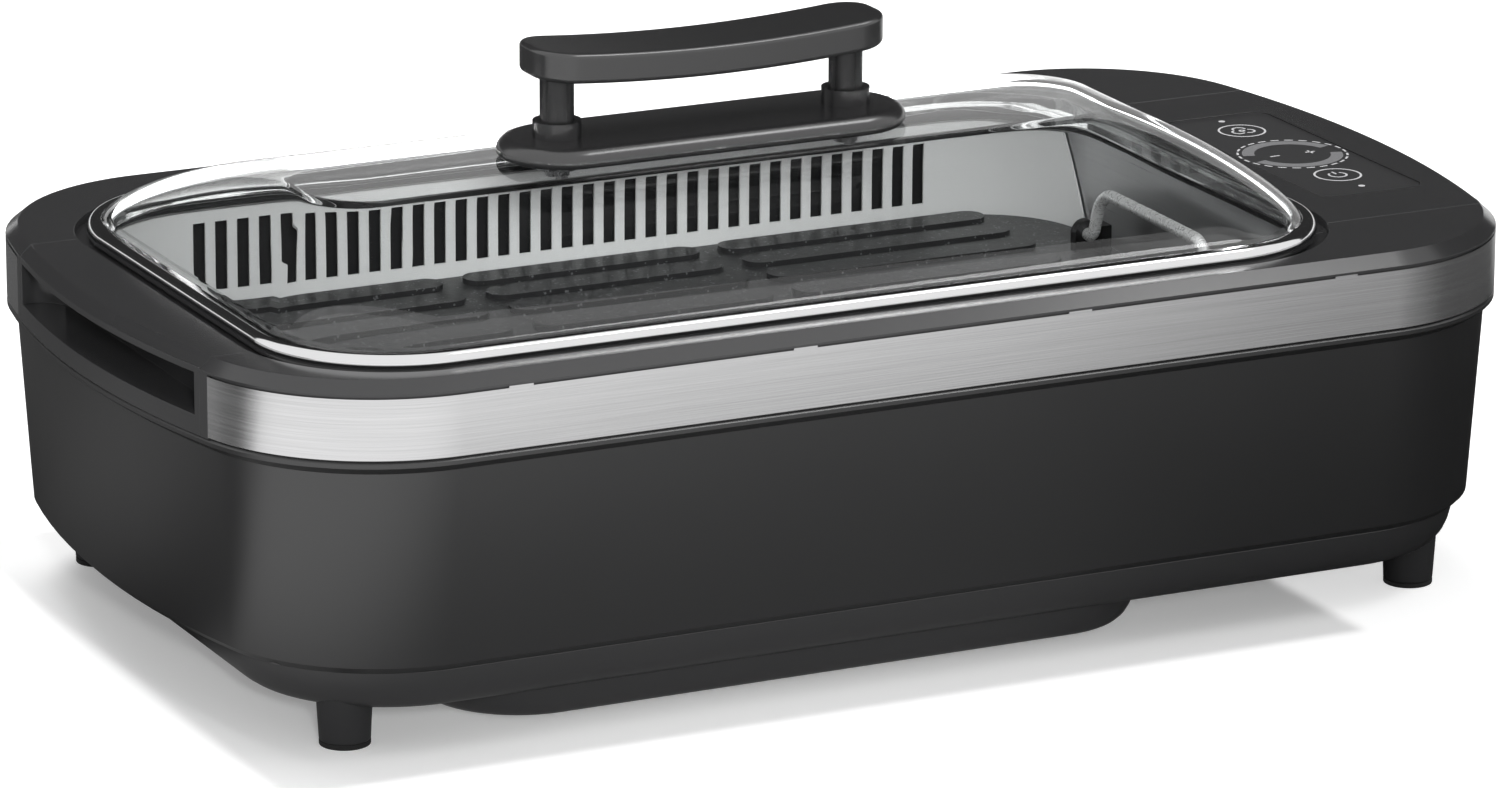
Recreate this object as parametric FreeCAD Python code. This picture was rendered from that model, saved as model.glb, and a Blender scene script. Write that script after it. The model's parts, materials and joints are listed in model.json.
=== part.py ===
import FreeCAD, Part
import math
import os

from FreeCAD import Vector

# Smokeless indoor grill: a moulded body with a steel band, a lift-off glass lid, a lift-out grill
# plate with two wire bails, a lift-out drip tray and a blower that draws the smoke through a
# slotted guard. Lengths are in millimetres. +X runs towards the control panel, -Y is the front and
# +Z is up. The origin is on the table, under the middle of the body.

# Overall sizes of the body, seen from above
body_length = 524.0
body_width = 302.0
end_bow_radius = 447.0
corner_radius = 71.6

# Heights, stacked from the table up
foot_height = 15.5
skirt_height = 15.0
side_height = 75.0
lip_height = 3.0
band_height = 21.5
band_seam = 0.7
deck_height = 4.8

# Clearances and the overrun of cuts
cut_over = 4.0
fit_gap = 0.3
seat_gap = 0.1
pin_gap = 0.05
curve_steps = 6

# Base shell
shell_wall = 3.0
shell_inset_top = 3.6
shell_inset_bottom = 8.0
shell_chamfer = 2.5
shell_flange = 3.0
lip_round = 0.8
lip_blend = 2.0
post_radius = 5.0
post_inset = 14.6
post_rise = 8.0
post_floor = 8.0
post_angle = math.radians(30.0)

# Bottom cover, its skirt and the bulge under the tray
cover_wall = 3.0
skirt_end_inset = 23.4
skirt_side_inset = 10.4
skirt_corner = 58.0
skirt_draft = 9.0
cover_lap = 18.0
cover_boss_radius = 5.0
cover_screw_inset = 12.0
cover_screw_share = 0.68
bulge_end_margin = 14.0
bulge_side_margin = 20.5
bulge_corner = 40.0
bulge_draft = 7.0
bulge_depth = 12.5

# Feet
foot_end_inset = 50.8
foot_side_inset = 36.5
foot_radius_low = 9.0
foot_radius_high = 10.6
foot_pad_height = 2.0

# Steel band
band_thickness = 1.0
band_slack = 0.2
band_end_margin = 4.4
clip_pitch = 107.0
clip_width = 9.0
clip_count = 4

# Top frame
frame_wall = 3.0
bevel_end = 4.5
bevel_side = 5.4
bevel_corner = 66.6
deck_edge = 0.8
seam_left_inset = 70.5
seam_right_inset = 59.1
seam_gap = 0.2
strip_left = 27.4
strip_right = 77.5
strip_front = 12.2
strip_rear = 31.6
opening_corner = 57.0
lid_recess = 3.4
ledge_width = 9.0
ledge_thickness = 2.6

# Finger pockets in both ends
pocket_rise = 7.0
pocket_height = 15.0
pocket_end_margin = 3.2
pocket_depth_left = 19.0
pocket_depth_right = 14.0
pocket_round = 12.0
pocket_wall = 2.5

# Touch panel and its board
panel_end_inset = 42.7
panel_half_length = 21.5
panel_half_width = 61.0
panel_corner = 6.0
panel_thickness = 2.4
panel_sink = 0.3
board_thickness = 1.6
board_margin = 3.0
board_boss_radius = 3.0
board_boss_height = 3.0
board_boss_inset = 3.5
chip_half_length = 5.0
chip_half_width = 7.0
chip_height = 1.5
chip_pitch = 36.0

# Cooking well, of sheet steel
sheet = 1.0
liner_setback = 2.0
liner_flange = 3.5
plate_depth = 48.0
seat_width = 10.0
shelf_height = 22.0
tray_gap = 1.5
window_rise = 9.5
window_height = 29.0
window_half_length = 158.0

# Slotted guard along the rear of the well
guard_setback = 0.6
guard_thickness = 0.8
guard_drop = 0.5
slot_count = 35
slot_pitch = 8.66
slot_width = 4.8
slot_rise = 11.2
slot_height = 26.0
guard_end_high = 41.0
guard_end_low = 57.0

# Drip tray
tray_end_margin = 68.5
tray_side_margin = 13.1
tray_corner = 28.0
tray_shift = -10.0
tray_depth = 38.0
tray_flange = 3.0
tray_tab_length = 14.0
tray_tab_half_width = 40.0

# Grill plate
plate_setback = 4.0
plate_thickness = 6.0
bar_rows = 11
bar_side_margin = 3.6
bar_width = 13.0
bar_height = 2.0
bar_end_margin = 26.0
bar_gap = 9.0
middle_bar_length = 96.0
drain_share = 0.5
drain_trim = 8.0

# Wire bails of the plate and their lugs
wire_radius = 2.3
bail_end_inset = 11.0
bail_rise = 6.2
bail_height = 17.6
bail_top_half = 40.0
bail_foot_half = 43.0
bail_bend_low = 4.0
bail_bend_high = 10.0
bail_lean = math.radians(6.0)
lug_thickness = 4.0
lug_radius = 5.0
lug_gap = 0.5
stop_length = 4.0
stop_height = 4.0

# Heating element under the plate
element_radius = 4.0
element_bend = 16.0
element_end_margin = 34.0
element_side_margin = 34.0
element_inner_half = 25.0
element_turn_share = 0.62
clamp_length = 12.0
clamp_margin = 4.0
clamp_share = 0.45
block_end_inset = 30.0
block_half_length = 12.0
block_half_width = 30.0
block_height = 17.0
terminal_half = 18.0
terminal_radius = 2.5
terminal_drop = 12.0
socket_height = 17.0
probe_radius = 3.0
probe_margin = 8.0
probe_clear = 0.5

# Air duct from the guard to the blower
duct_wall = 1.2
duct_depth = 11.0
duct_half_length = 166.0
duct_rise = 5.0
duct_height = 36.0
plenum_gap = 3.0
plenum_depth = 14.0
plenum_front = 10.0
plenum_drop = 93.0

# Blower, its wheel and its motor
blower_width = 28.0
blower_radius = 38.0
blower_wall = 2.0
blower_y = 52.0
blower_drop = 53.0
inlet_radius = 20.0
outlet_height = 22.0
outlet_end_gap = 16.0
wheel_radius = 30.0
wheel_width = 19.0
wheel_plate = 1.5
blade_count = 16
blade_depth = 8.0
blade_thickness = 1.2
hub_radius = 6.0
wheel_clear = 2.0
shaft_radius = 2.0
motor_radius = 17.0
motor_length = 17.0
motor_flange_radius = 25.0
motor_flange = 2.0
motor_screw_circle = 21.0
motor_screw_count = 3
bracket_sheet = 2.0
bracket_half_length = 5.0
bracket_near = 6.0
bracket_far = 24.0

# Exhaust grille and power inlet in the rear of the base shell
grille_margin = 3.0
grille_slot_count = 4
grille_slot_width = 3.2
inlet_end_inset = 122.0
inlet_rise = 30.0
inlet_half_length = 14.0
inlet_half_height = 11.0
inlet_depth = 20.0
inlet_flange = 4.0
inlet_flange_depth = 1.5
inlet_wall = 2.5
inlet_pin_length = 12.0
inlet_pin_width = 4.0
inlet_pin_thickness = 2.0
inlet_pin_pitch = 7.0

# Power board on the bottom cover
power_end_inset = 112.0
power_half_length = 32.0
power_half_width = 35.0
power_y = -60.0
power_rise = 8.0
power_boss_radius = 3.0
power_boss_inset = 5.0
relay_half = 9.0
relay_height = 15.0
coil_half_length = 12.0
coil_half_width = 14.0
coil_height = 18.0

# Glass lid and its rim
lid_gap = 4.5
rim_height = 7.4
rim_round = 1.3
rim_width = 5.5
rim_shelf = 3.0
rim_floor = 1.6
glass_thickness = 4.0
glass_gap = 0.2
lid_rise = 35.8
shoulder_end = 42.0
crown_margin = 3.4
shoulder_power = 1.5
crown_corner = 20.0

# Lid handle
handle_half_length = 79.0
handle_half_width = 24.0
handle_base_height = 7.4
handle_base_under = 3.5
handle_base_widest = 2.6
handle_base_draft = 5.0
post_pitch = 114.6
handle_post_radius = 6.2
collar_radius = 8.8
collar_height = 6.0
grip_rise = 19.8
grip_half_length = 69.0
grip_half_width = 16.5
grip_height = 11.0
grip_edge = 1.8
grip_corner = 13.0
grip_sag = 3.9
grip_socket = 4.0
washer_radius = 8.0
washer_thickness = 1.5

# Screws
screw_radius = 1.75
screw_head_radius = 3.4
screw_head_height = 2.6
frame_screw_length = 17.0
cover_screw_length = 9.0
handle_screw_radius = 2.5
handle_screw_head = 4.5
handle_screw_length = 24.0
board_screw_radius = 1.1
board_screw_head = 2.2
board_screw_head_height = 1.4
board_screw_length = 3.6
motor_screw_radius = 1.1
motor_screw_head = 2.2
motor_screw_length = 3.6

# Places worked out from the sizes above
half_length = body_length / 2
half_width = body_width / 2
seam_left = half_width - seam_left_inset
seam_right = half_width - seam_right_inset
pocket_half_width = seam_left - pocket_end_margin
corner_y = half_width - corner_radius
corner_x = half_length - end_bow_radius + math.sqrt(
    (end_bow_radius - corner_radius) ** 2 - corner_y ** 2)

z_skirt = foot_height
z_side = z_skirt + skirt_height
z_lip = z_side + side_height
z_band = z_lip + lip_height
z_deck = z_band + band_height + 2 * band_seam
z_top = z_deck + deck_height
z_ledge = z_top - lid_recess
z_plate = z_ledge - ledge_thickness
z_seat = z_top - plate_depth
z_shelf = z_side + shelf_height
z_tray = z_shelf - tray_depth
z_cover = z_skirt + cover_wall
z_bulge = z_skirt - bulge_depth
z_post = z_band + post_rise

opening_left = -half_length + strip_left
opening_right = half_length - strip_right
well_x = (opening_left + opening_right) / 2
open_half_x = (opening_right - opening_left) / 2
open_half_y = (body_width - strip_front - strip_rear) / 2
well_y = (strip_front - strip_rear) / 2
tray_x = well_x + tray_shift

groove_depth = band_thickness + band_slack
band_end_left = seam_left + band_end_margin
band_end_right = seam_right + band_end_margin

liner_inset = ledge_width + liner_setback
liner_right = well_x + open_half_x - liner_inset + sheet
liner_rear = well_y + open_half_y - liner_inset + sheet
lower_inset = liner_inset + seat_width

plate_inset = liner_inset + plate_setback
plate_half_x = open_half_x - plate_inset
plate_half_y = open_half_y - plate_inset
tray_half_length = plate_half_x - tray_end_margin
tray_half_width = plate_half_y - tray_side_margin
bulge_half_length = tray_half_length + bulge_end_margin
bulge_half_width = tray_half_width + bulge_side_margin
bar_pitch = (2 * (plate_half_y - bar_side_margin) - bar_width) / (bar_rows - 1)
drain_width = (bar_pitch - bar_width) * drain_share
plate_low = z_seat + fit_gap
plate_high = plate_low + plate_thickness

skirt_half_x = half_length - skirt_end_inset
skirt_half_y = half_width - skirt_side_inset

lid_half_x = open_half_x - lid_gap
lid_half_y = open_half_y - lid_gap
shoulder_side = lid_half_y - rim_width - glass_gap - handle_half_width - crown_margin
lid_corner = opening_corner - lid_gap
rim_low = z_ledge + fit_gap
rim_high = rim_low + rim_height
glass_low = rim_low + rim_floor
glass_high = rim_low + lid_rise
handle_base_high = glass_high + handle_base_height
grip_low = handle_base_high + grip_rise
post_high = grip_low + grip_socket

panel_x = half_length - panel_end_inset
panel_low = z_top - panel_sink - panel_thickness

plenum_left = liner_right + plenum_gap
plenum_right = plenum_left + plenum_depth
plenum_low = z_top - plenum_drop
duct_front = liner_rear + seat_gap
duct_rear = duct_front + duct_depth
duct_low = z_seat + duct_rise
duct_high = duct_low + duct_height
blower_left = plenum_right + seat_gap
blower_right = blower_left + blower_width
blower_z = z_top - blower_drop
blower_low = blower_z - blower_radius
outlet_end = half_width - shell_inset_bottom - shell_wall - outlet_end_gap


def arc(start, via, end):
    """Circular edge through three points."""
    return Part.Arc(start, via, end).toShape()


def line(start, end):
    """Straight edge between two points."""
    return Part.LineSegment(start, end).toShape()


def bowed_wire(half_x, half_y, bow, corner, z):
    """Closed outline with straight long sides, bowed ends and round corners."""
    bow_x = half_x - bow
    mid_y = half_y - corner
    mid_x = bow_x + math.sqrt((bow - corner) ** 2 - mid_y ** 2)
    end_angle = math.atan2(mid_y, mid_x - bow_x)
    via_angle = (math.pi / 2 + end_angle) / 2
    end_x = mid_x + corner * math.cos(end_angle)
    end_y = mid_y + corner * math.sin(end_angle)
    via_x = mid_x + corner * math.cos(via_angle)
    via_y = mid_y + corner * math.sin(via_angle)

    def spot(x, y):
        return Vector(x, y, z)

    return Part.Wire([
        line(spot(-mid_x, -half_y), spot(mid_x, -half_y)),
        arc(spot(mid_x, -half_y), spot(via_x, -via_y), spot(end_x, -end_y)),
        arc(spot(end_x, -end_y), spot(half_x, 0), spot(end_x, end_y)),
        arc(spot(end_x, end_y), spot(via_x, via_y), spot(mid_x, half_y)),
        line(spot(mid_x, half_y), spot(-mid_x, half_y)),
        arc(spot(-mid_x, half_y), spot(-via_x, via_y), spot(-end_x, end_y)),
        arc(spot(-end_x, end_y), spot(-half_x, 0), spot(-end_x, -end_y)),
        arc(spot(-end_x, -end_y), spot(-via_x, -via_y), spot(-mid_x, -half_y)),
    ])


def round_wire(mid_x, mid_y, half_x, half_y, corner, z):
    """Closed rounded rectangle about a middle point."""
    in_x = half_x - corner
    in_y = half_y - corner
    via = corner * math.sqrt(1 / 2)

    def spot(x, y):
        return Vector(mid_x + x, mid_y + y, z)

    return Part.Wire([
        line(spot(-in_x, -half_y), spot(in_x, -half_y)),
        arc(spot(in_x, -half_y), spot(in_x + via, -in_y - via), spot(half_x, -in_y)),
        line(spot(half_x, -in_y), spot(half_x, in_y)),
        arc(spot(half_x, in_y), spot(in_x + via, in_y + via), spot(in_x, half_y)),
        line(spot(in_x, half_y), spot(-in_x, half_y)),
        arc(spot(-in_x, half_y), spot(-in_x - via, in_y + via), spot(-half_x, in_y)),
        line(spot(-half_x, in_y), spot(-half_x, -in_y)),
        arc(spot(-half_x, -in_y), spot(-in_x - via, -in_y - via), spot(-in_x, -half_y)),
    ])


def obround_wire(mid_x, mid_y, half_x, half_y, z):
    """Closed slot outline with half-round ends."""
    in_x = half_x - half_y

    def spot(x, y):
        return Vector(mid_x + x, mid_y + y, z)

    return Part.Wire([
        line(spot(-in_x, -half_y), spot(in_x, -half_y)),
        arc(spot(in_x, -half_y), spot(half_x, 0), spot(in_x, half_y)),
        line(spot(in_x, half_y), spot(-in_x, half_y)),
        arc(spot(-in_x, half_y), spot(-half_x, 0), spot(-in_x, -half_y)),
    ])


def shell_wire(inset, z):
    """Outline of the body, moved inwards by an inset."""
    return bowed_wire(half_length - inset, half_width - inset, end_bow_radius - inset,
                      corner_radius - inset, z)


def well_wire(inset, z):
    """Outline of the deck's opening, moved inwards by an inset."""
    return round_wire(well_x, well_y, open_half_x - inset, open_half_y - inset,
                      opening_corner - inset, z)


def skirt_wire(inset, z):
    """Outline of the bottom cover, moved inwards by an inset."""
    return round_wire(0, 0, skirt_half_x - inset, skirt_half_y - inset, skirt_corner - inset, z)


def prism(wire, height):
    """Solid drawn straight up from a closed outline."""
    return Part.Face(wire).extrude(Vector(0, 0, height))


def between(wire_at, low, high, inset=0):
    """Straight solid between two heights, from an outline function."""
    return prism(wire_at(inset, low), high - low)


def ring(wire_at, outer, inner, low, high):
    """Straight wall between two insets of one outline."""
    hole = between(wire_at, low - cut_over, high + cut_over, inner)
    return between(wire_at, low, high, outer).cut(hole)


def loft(wires):
    """Solid with straight rulings through a stack of like outlines."""
    return Part.makeLoft(wires, True, True)


def quarter_loft(wire_at, draft, start, height, power=1):
    """Solid whose side follows a quarter ellipse: draft inwards over a height, up or down.

    A power above one flattens the curve towards its chord.
    """
    wires = []
    for step in range(curve_steps + 1):
        angle = math.pi / 2 * step / curve_steps
        inset = draft * (1 - abs(math.cos(angle)) ** power)
        wires.append(wire_at(inset, start + height * math.sin(angle) ** power))
    return loft(wires)


def block(low, high):
    """Box between two opposite corners, given as triples."""
    size = [b - a for a, b in zip(low, high)]
    return Part.makeBox(size[0], size[1], size[2], Vector(*low))


def rod(radius, start, end):
    """Round bar between two points."""
    axis = end - start
    return Part.makeCylinder(radius, axis.Length, start, axis)


def upright(radius, x, y, low, high):
    """Round bar along Z."""
    return rod(radius, Vector(x, y, low), Vector(x, y, high))


def screw(seat, axis, radius, length, head_radius, head_height, gap=0):
    """Screw with its head behind the seat point and its shank along the axis, grown by a gap."""
    head = rod(head_radius + gap, seat - axis * (head_height + gap), seat)
    shank = rod(radius + gap, seat - axis * head_height, seat + axis * (length + gap))
    return head.fuse(shank).removeSplitter()


def bent_path(points, radii):
    """Wire of straight runs through points, with a tangent arc at each inner point."""
    edges = []
    start = points[0]
    for before, corner, after, radius in zip(points, points[1:], points[2:], radii):
        back = (before - corner).normalize()
        ahead = (after - corner).normalize()
        half_turn = (math.pi - back.getAngle(ahead)) / 2
        reach = radius * math.tan(half_turn)
        inward = (back + ahead).normalize()
        centre = corner + inward * (radius / math.cos(half_turn))
        first = corner + back * reach
        last = corner + ahead * reach
        edges.append(line(start, first))
        edges.append(arc(first, centre - inward * radius, last))
        start = last
    edges.append(line(start, points[-1]))
    return Part.Wire(edges)


def tube(points, radii, radius):
    """Round wire or tube bent along a path of points."""
    path = bent_path(points, radii)
    circle = Part.Wire(Part.makeCircle(radius, points[0], points[1] - points[0]))
    return path.makePipeShell([circle], True, False)


def fuse(shapes):
    """One solid from overlapping shapes."""
    return shapes[0].multiFuse(shapes[1:]).removeSplitter()


def group(shapes):
    """Separate solids that share one node."""
    return Part.makeCompound(shapes)


def corners(x, y):
    """The four points at plus and minus x and y."""
    return [(sx * x, sy * y) for sx in (-1, 1) for sy in (-1, 1)]


def foot_places():
    """Middles of the four feet."""
    return corners(half_length - foot_end_inset, half_width - foot_side_inset)


def post_places():
    """Middles of the four corner posts that join the base shell to the top frame."""
    reach = corner_radius - post_inset
    return corners(corner_x + reach * math.cos(post_angle), corner_y + reach * math.sin(post_angle))


def cover_screw_places():
    """Middles of the six screws that hold the bottom cover."""
    side_y = skirt_half_y - cover_screw_inset
    end_x = skirt_half_x - cover_screw_inset
    return corners(skirt_half_x * cover_screw_share, side_y) + [(-end_x, 0), (end_x, 0)]


def frame_screw(place, gap=0):
    """Long screw that runs up a corner post into the top frame."""
    seat = Vector(place[0], place[1], z_post - post_floor)
    return screw(seat, Vector(0, 0, 1), screw_radius, frame_screw_length,
                 screw_head_radius, screw_head_height, gap)


def cover_screw(place, gap=0):
    """Screw that holds the bottom cover to the base shell's flange."""
    seat = Vector(place[0], place[1], z_side + shell_flange - cover_screw_length)
    return screw(seat, Vector(0, 0, 1), screw_radius, cover_screw_length,
                 screw_head_radius, screw_head_height, gap)


def shell_solid(grow):
    """Outside of the base shell as a full solid, grown sideways."""
    levels = [
        (shell_inset_bottom + shell_chamfer, z_side),
        (shell_inset_bottom, z_side + shell_chamfer),
        (shell_inset_top, z_lip - lip_blend),
        (lip_round, z_lip),
        (0, z_lip + lip_round),
        (0, z_band - lip_round),
        (lip_round, z_band),
    ]
    return loft([shell_wire(inset - grow, z) for inset, z in levels])


def shell_hollow():
    """Space inside the base shell, above its flange."""
    return loft([
        shell_wire(shell_inset_bottom + shell_wall, z_side + shell_flange),
        shell_wire(shell_inset_top + shell_wall, z_lip - lip_blend),
        shell_wire(shell_inset_top + shell_wall, z_band + cut_over),
    ])


def grille_window(gap):
    """Rear space that the exhaust grille fills, shrunk by a gap."""
    return block((blower_left + grille_margin + gap, outlet_end, blower_low + grille_margin + gap),
                 (blower_right - grille_margin - gap, half_width,
                  blower_low + outlet_height - grille_margin - gap))


def power_inlet_middle():
    """Middle of the power inlet, as x and z."""
    return half_length - inlet_end_inset, z_side + inlet_rise


def power_inlet_body(gap):
    """Block of the power inlet through the rear wall, grown by a gap."""
    x, z = power_inlet_middle()
    rear = half_width - shell_inset_top
    return block((x - inlet_half_length - gap, rear - inlet_depth, z - inlet_half_height - gap),
                 (x + inlet_half_length + gap, half_width, z + inlet_half_height + gap))


def base_wall():
    """Base shell with its flange, before its posts, holes and windows."""
    hole = between(skirt_wire, z_side - cut_over, z_side + shell_flange + cut_over, cover_lap)
    return shell_solid(0).cut(shell_hollow()).cut(hole)


def base_shell():
    """Lower body with a rounded lip, an inward flange and four corner posts."""
    posts = [upright(post_radius, x, y, z_side, z_post) for x, y in post_places()]
    shell = fuse([base_wall()] + posts)
    bores = [upright(screw_head_radius + fit_gap, x, y, z_side - cut_over, z_post - post_floor)
             for x, y in post_places()]
    cuts = bores + [frame_screw(place, pin_gap) for place in post_places()]
    cuts += [cover_screw(place, pin_gap) for place in cover_screw_places()]
    cuts += [grille_window(0), power_inlet_body(seat_gap)]
    return shell.cut(cuts)


def foot_leg(place, gap=0):
    """Tapered leg between its pad and the base shell's flange, grown by a gap."""
    x, y = place
    return Part.makeCone(foot_radius_low + gap, foot_radius_high + gap, z_side - foot_pad_height,
                         Vector(x, y, foot_pad_height))


def skirt_solid(shrink):
    """Skirt of the bottom cover with sides that curve in, shrunk by a wall."""
    def wire_at(inset, z):
        return skirt_wire(inset + shrink, z)
    return quarter_loft(wire_at, skirt_draft, z_side, z_skirt + shrink - z_side)


def bulge_solid(shrink):
    """Bulge under the drip tray, shrunk by a wall."""
    def wire_at(inset, z):
        return round_wire(tray_x, well_y, bulge_half_length - inset - shrink,
                          bulge_half_width - inset - shrink, bulge_corner - inset - shrink, z)
    return quarter_loft(wire_at, bulge_draft, z_cover, z_bulge + shrink - z_cover)


def power_board_places():
    """Middles of the four bosses under the power board."""
    x = half_length - power_end_inset
    return [(x + dx, power_y + dy) for dx, dy in
            corners(power_half_length - power_boss_inset, power_half_width - power_boss_inset)]


def bottom_cover():
    """Pan-shaped cover under the body, with its skirt, the bulge and screw bosses."""
    pan = fuse([skirt_solid(0), bulge_solid(0)])
    pan = pan.cut([skirt_solid(cover_wall), bulge_solid(cover_wall)])
    bosses = [upright(cover_boss_radius, x, y, z_cover, z_side)
              for x, y in cover_screw_places()]
    bosses += [upright(power_boss_radius, x, y, z_cover, z_cover + power_rise)
               for x, y in power_board_places()]
    pan = fuse([pan] + bosses)
    heads = [upright(screw_head_radius + pin_gap, x, y, 0,
                     z_side + shell_flange - cover_screw_length)
             for x, y in cover_screw_places()]
    cuts = heads + [cover_screw(place, pin_gap) for place in cover_screw_places()]
    cuts += [foot_leg(place, seat_gap) for place in foot_places()]
    return pan.cut(cuts)


def feet():
    """Four tapered legs under the corners."""
    return group([foot_leg(place) for place in foot_places()])


def foot_pads():
    """Soft pads under the four legs."""
    return group([upright(foot_radius_low, x, y, 0, foot_pad_height) for x, y in foot_places()])


def end_zone(left_half, right_half):
    """Two blocks over the ends of the body, each as wide as given to both sides of the well's middle."""
    far = half_length + cut_over
    high = z_top + cut_over
    return [block((-far, well_y - left_half, 0), (well_x, well_y + left_half, high)),
            block((well_x, well_y - right_half, 0), (far, well_y + right_half, high))]


def clip_places():
    """Middles along X of the clips in the band's upper seam."""
    return [(index - (clip_count - 1) / 2) * clip_pitch for index in range(clip_count)]


def steel_bands():
    """Front and rear band, each wrapped round two corners, with clips on the upper edge."""
    low = z_band + band_seam
    wall = ring(shell_wire, 0, band_thickness, low, low + band_height)
    strips = ring(shell_wire, 0, band_thickness, low + band_height, z_deck)
    clips = [block((x - clip_width / 2, -half_width, 0), (x + clip_width / 2, half_width, z_top))
             for x in clip_places()]
    wall = wall.cut(end_zone(band_end_left + seat_gap, band_end_right + seat_gap))
    wall = fuse([wall, strips.common(group(clips))])
    return [half_of(wall, side) for side in (-1, 1)]


def half_of(shape, side):
    """The part of a shape at negative or positive y."""
    reach = half_length + cut_over
    depth = half_width + cut_over
    low_y = min(0, side * depth)
    return shape.common(block((-reach, low_y, 0), (reach, low_y + depth, z_top + cut_over)))


def deck_ring():
    """Whole top frame with its bevel, its ledge for the lid and its hollow underside."""
    top = bowed_wire(half_length - bevel_end, half_width - bevel_side, end_bow_radius - bevel_end,
                     bevel_corner, z_top)
    body = loft([shell_wire(0, z_band), shell_wire(0, z_deck + deck_edge), top])
    hollow = between(shell_wire, z_band - cut_over, z_plate, groove_depth + frame_wall)
    opening = between(well_wire, z_ledge, z_top + cut_over)
    throat = between(well_wire, z_plate - cut_over, z_ledge + cut_over, ledge_width)
    return body.cut([hollow, opening, throat])


def frame_pieces():
    """Front and rear pieces of the top frame, with the band's groove and screw bosses."""
    gap = seam_gap / 2
    groove = ring(shell_wire, -cut_over, groove_depth, z_band - cut_over, z_deck)
    groove = groove.cut(end_zone(band_end_left, band_end_right))
    rails = deck_ring().cut(groove).cut(end_zone(seam_left + gap, seam_right + gap))
    bosses = [upright(post_radius, x, y, z_post, z_ledge) for x, y in post_places()]
    rails = fuse([rails] + bosses).cut([frame_screw(place, pin_gap) for place in post_places()])
    return [half_of(rails, side) for side in (-1, 1)]


def pocket_wire(side, depth, grow, z):
    """Plan of a finger pocket that opens at one end of the body."""
    return round_wire(side * half_length, well_y, depth + grow, pocket_half_width + grow,
                      pocket_round + grow, z)


def end_cover(side, depth):
    """End piece of the top frame with a finger pocket below its flat top."""
    gap = seam_gap / 2
    zone = end_zone(seam_left - gap, seam_right - gap)[0 if side < 0 else 1]
    floor = z_band + pocket_rise
    skin = prism(pocket_wire(side, depth, pocket_wall, floor - pocket_wall),
                 z_ledge - floor + pocket_wall)
    skin = skin.common(between(shell_wire, z_band, z_ledge))
    space = prism(pocket_wire(side, depth, 0, floor), pocket_height)
    return fuse([deck_ring().common(zone), skin]).cut(space)


def panel_wire(inset, z):
    """Outline of the touch panel, moved inwards by an inset."""
    return round_wire(panel_x, well_y, panel_half_length - inset, panel_half_width - inset,
                      panel_corner, z)


def board_places():
    """Middles of the four bosses of the control board."""
    inset = board_margin + board_boss_inset
    return [(panel_x + dx, well_y + dy) for dx, dy in
            corners(panel_half_length - inset, panel_half_width - inset)]


def board_screw(place, gap=0):
    """Small screw that holds the control board up to its boss."""
    seat = Vector(place[0], place[1], z_plate - board_boss_height - board_thickness)
    return screw(seat, Vector(0, 0, 1), board_screw_radius, board_screw_length,
                 board_screw_head, board_screw_head_height, gap)


def right_end_cover():
    """Right end piece with the seat of the touch panel and the bosses of its board."""
    cover = end_cover(1, pocket_depth_right)
    bosses = [upright(board_boss_radius, x, y, z_plate - board_boss_height, z_ledge)
              for x, y in board_places()]
    seat = between(panel_wire, panel_low, z_top + cut_over, -seat_gap)
    return fuse([cover] + bosses).cut([seat] + [board_screw(p, pin_gap) for p in board_places()])


def touch_panel():
    """Flush glass panel that carries the touch controls."""
    return between(panel_wire, panel_low, z_top - panel_sink)


def control_board():
    """Circuit board of the touch panel with its chips underneath."""
    high = z_plate - board_boss_height
    low = high - board_thickness
    board = between(panel_wire, low, high, board_margin)
    chips = [block((panel_x - chip_half_length, y - chip_half_width, low - chip_height),
                   (panel_x + chip_half_length, y + chip_half_width, low))
             for y in (well_y - chip_pitch, well_y, well_y + chip_pitch)]
    return fuse([board] + chips).cut([board_screw(place, pin_gap) for place in board_places()])


def rear_window(low_y, high_y):
    """Air window behind the slotted guard, between two depths."""
    return block((well_x - window_half_length, low_y, z_seat + window_rise),
                 (well_x + window_half_length, high_y, z_seat + window_rise + window_height))


def tray_wire(inset, z):
    """Outline of the drip tray, moved inwards by an inset."""
    return round_wire(tray_x, well_y, tray_half_length - inset, tray_half_width - inset,
                      tray_corner - inset, z)


def well_liner():
    """Steel well: a flange under the deck, a seat for the plate, a shelf and the tray's pit."""
    outside = fuse([
        between(well_wire, z_plate - sheet, z_plate, liner_inset - sheet - liner_flange),
        between(well_wire, z_seat - sheet, z_plate, liner_inset - sheet),
        between(well_wire, z_shelf - sheet, z_seat, lower_inset - sheet),
        between(tray_wire, z_tray - sheet, z_shelf, -tray_gap - sheet),
    ])
    return outside.cut([
        between(well_wire, z_seat, z_plate + cut_over, liner_inset),
        between(well_wire, z_shelf, z_plate, lower_inset),
        between(tray_wire, z_tray, z_plate, -tray_gap),
        rear_window(liner_rear - sheet - cut_over, liner_rear + cut_over),
    ])


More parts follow.
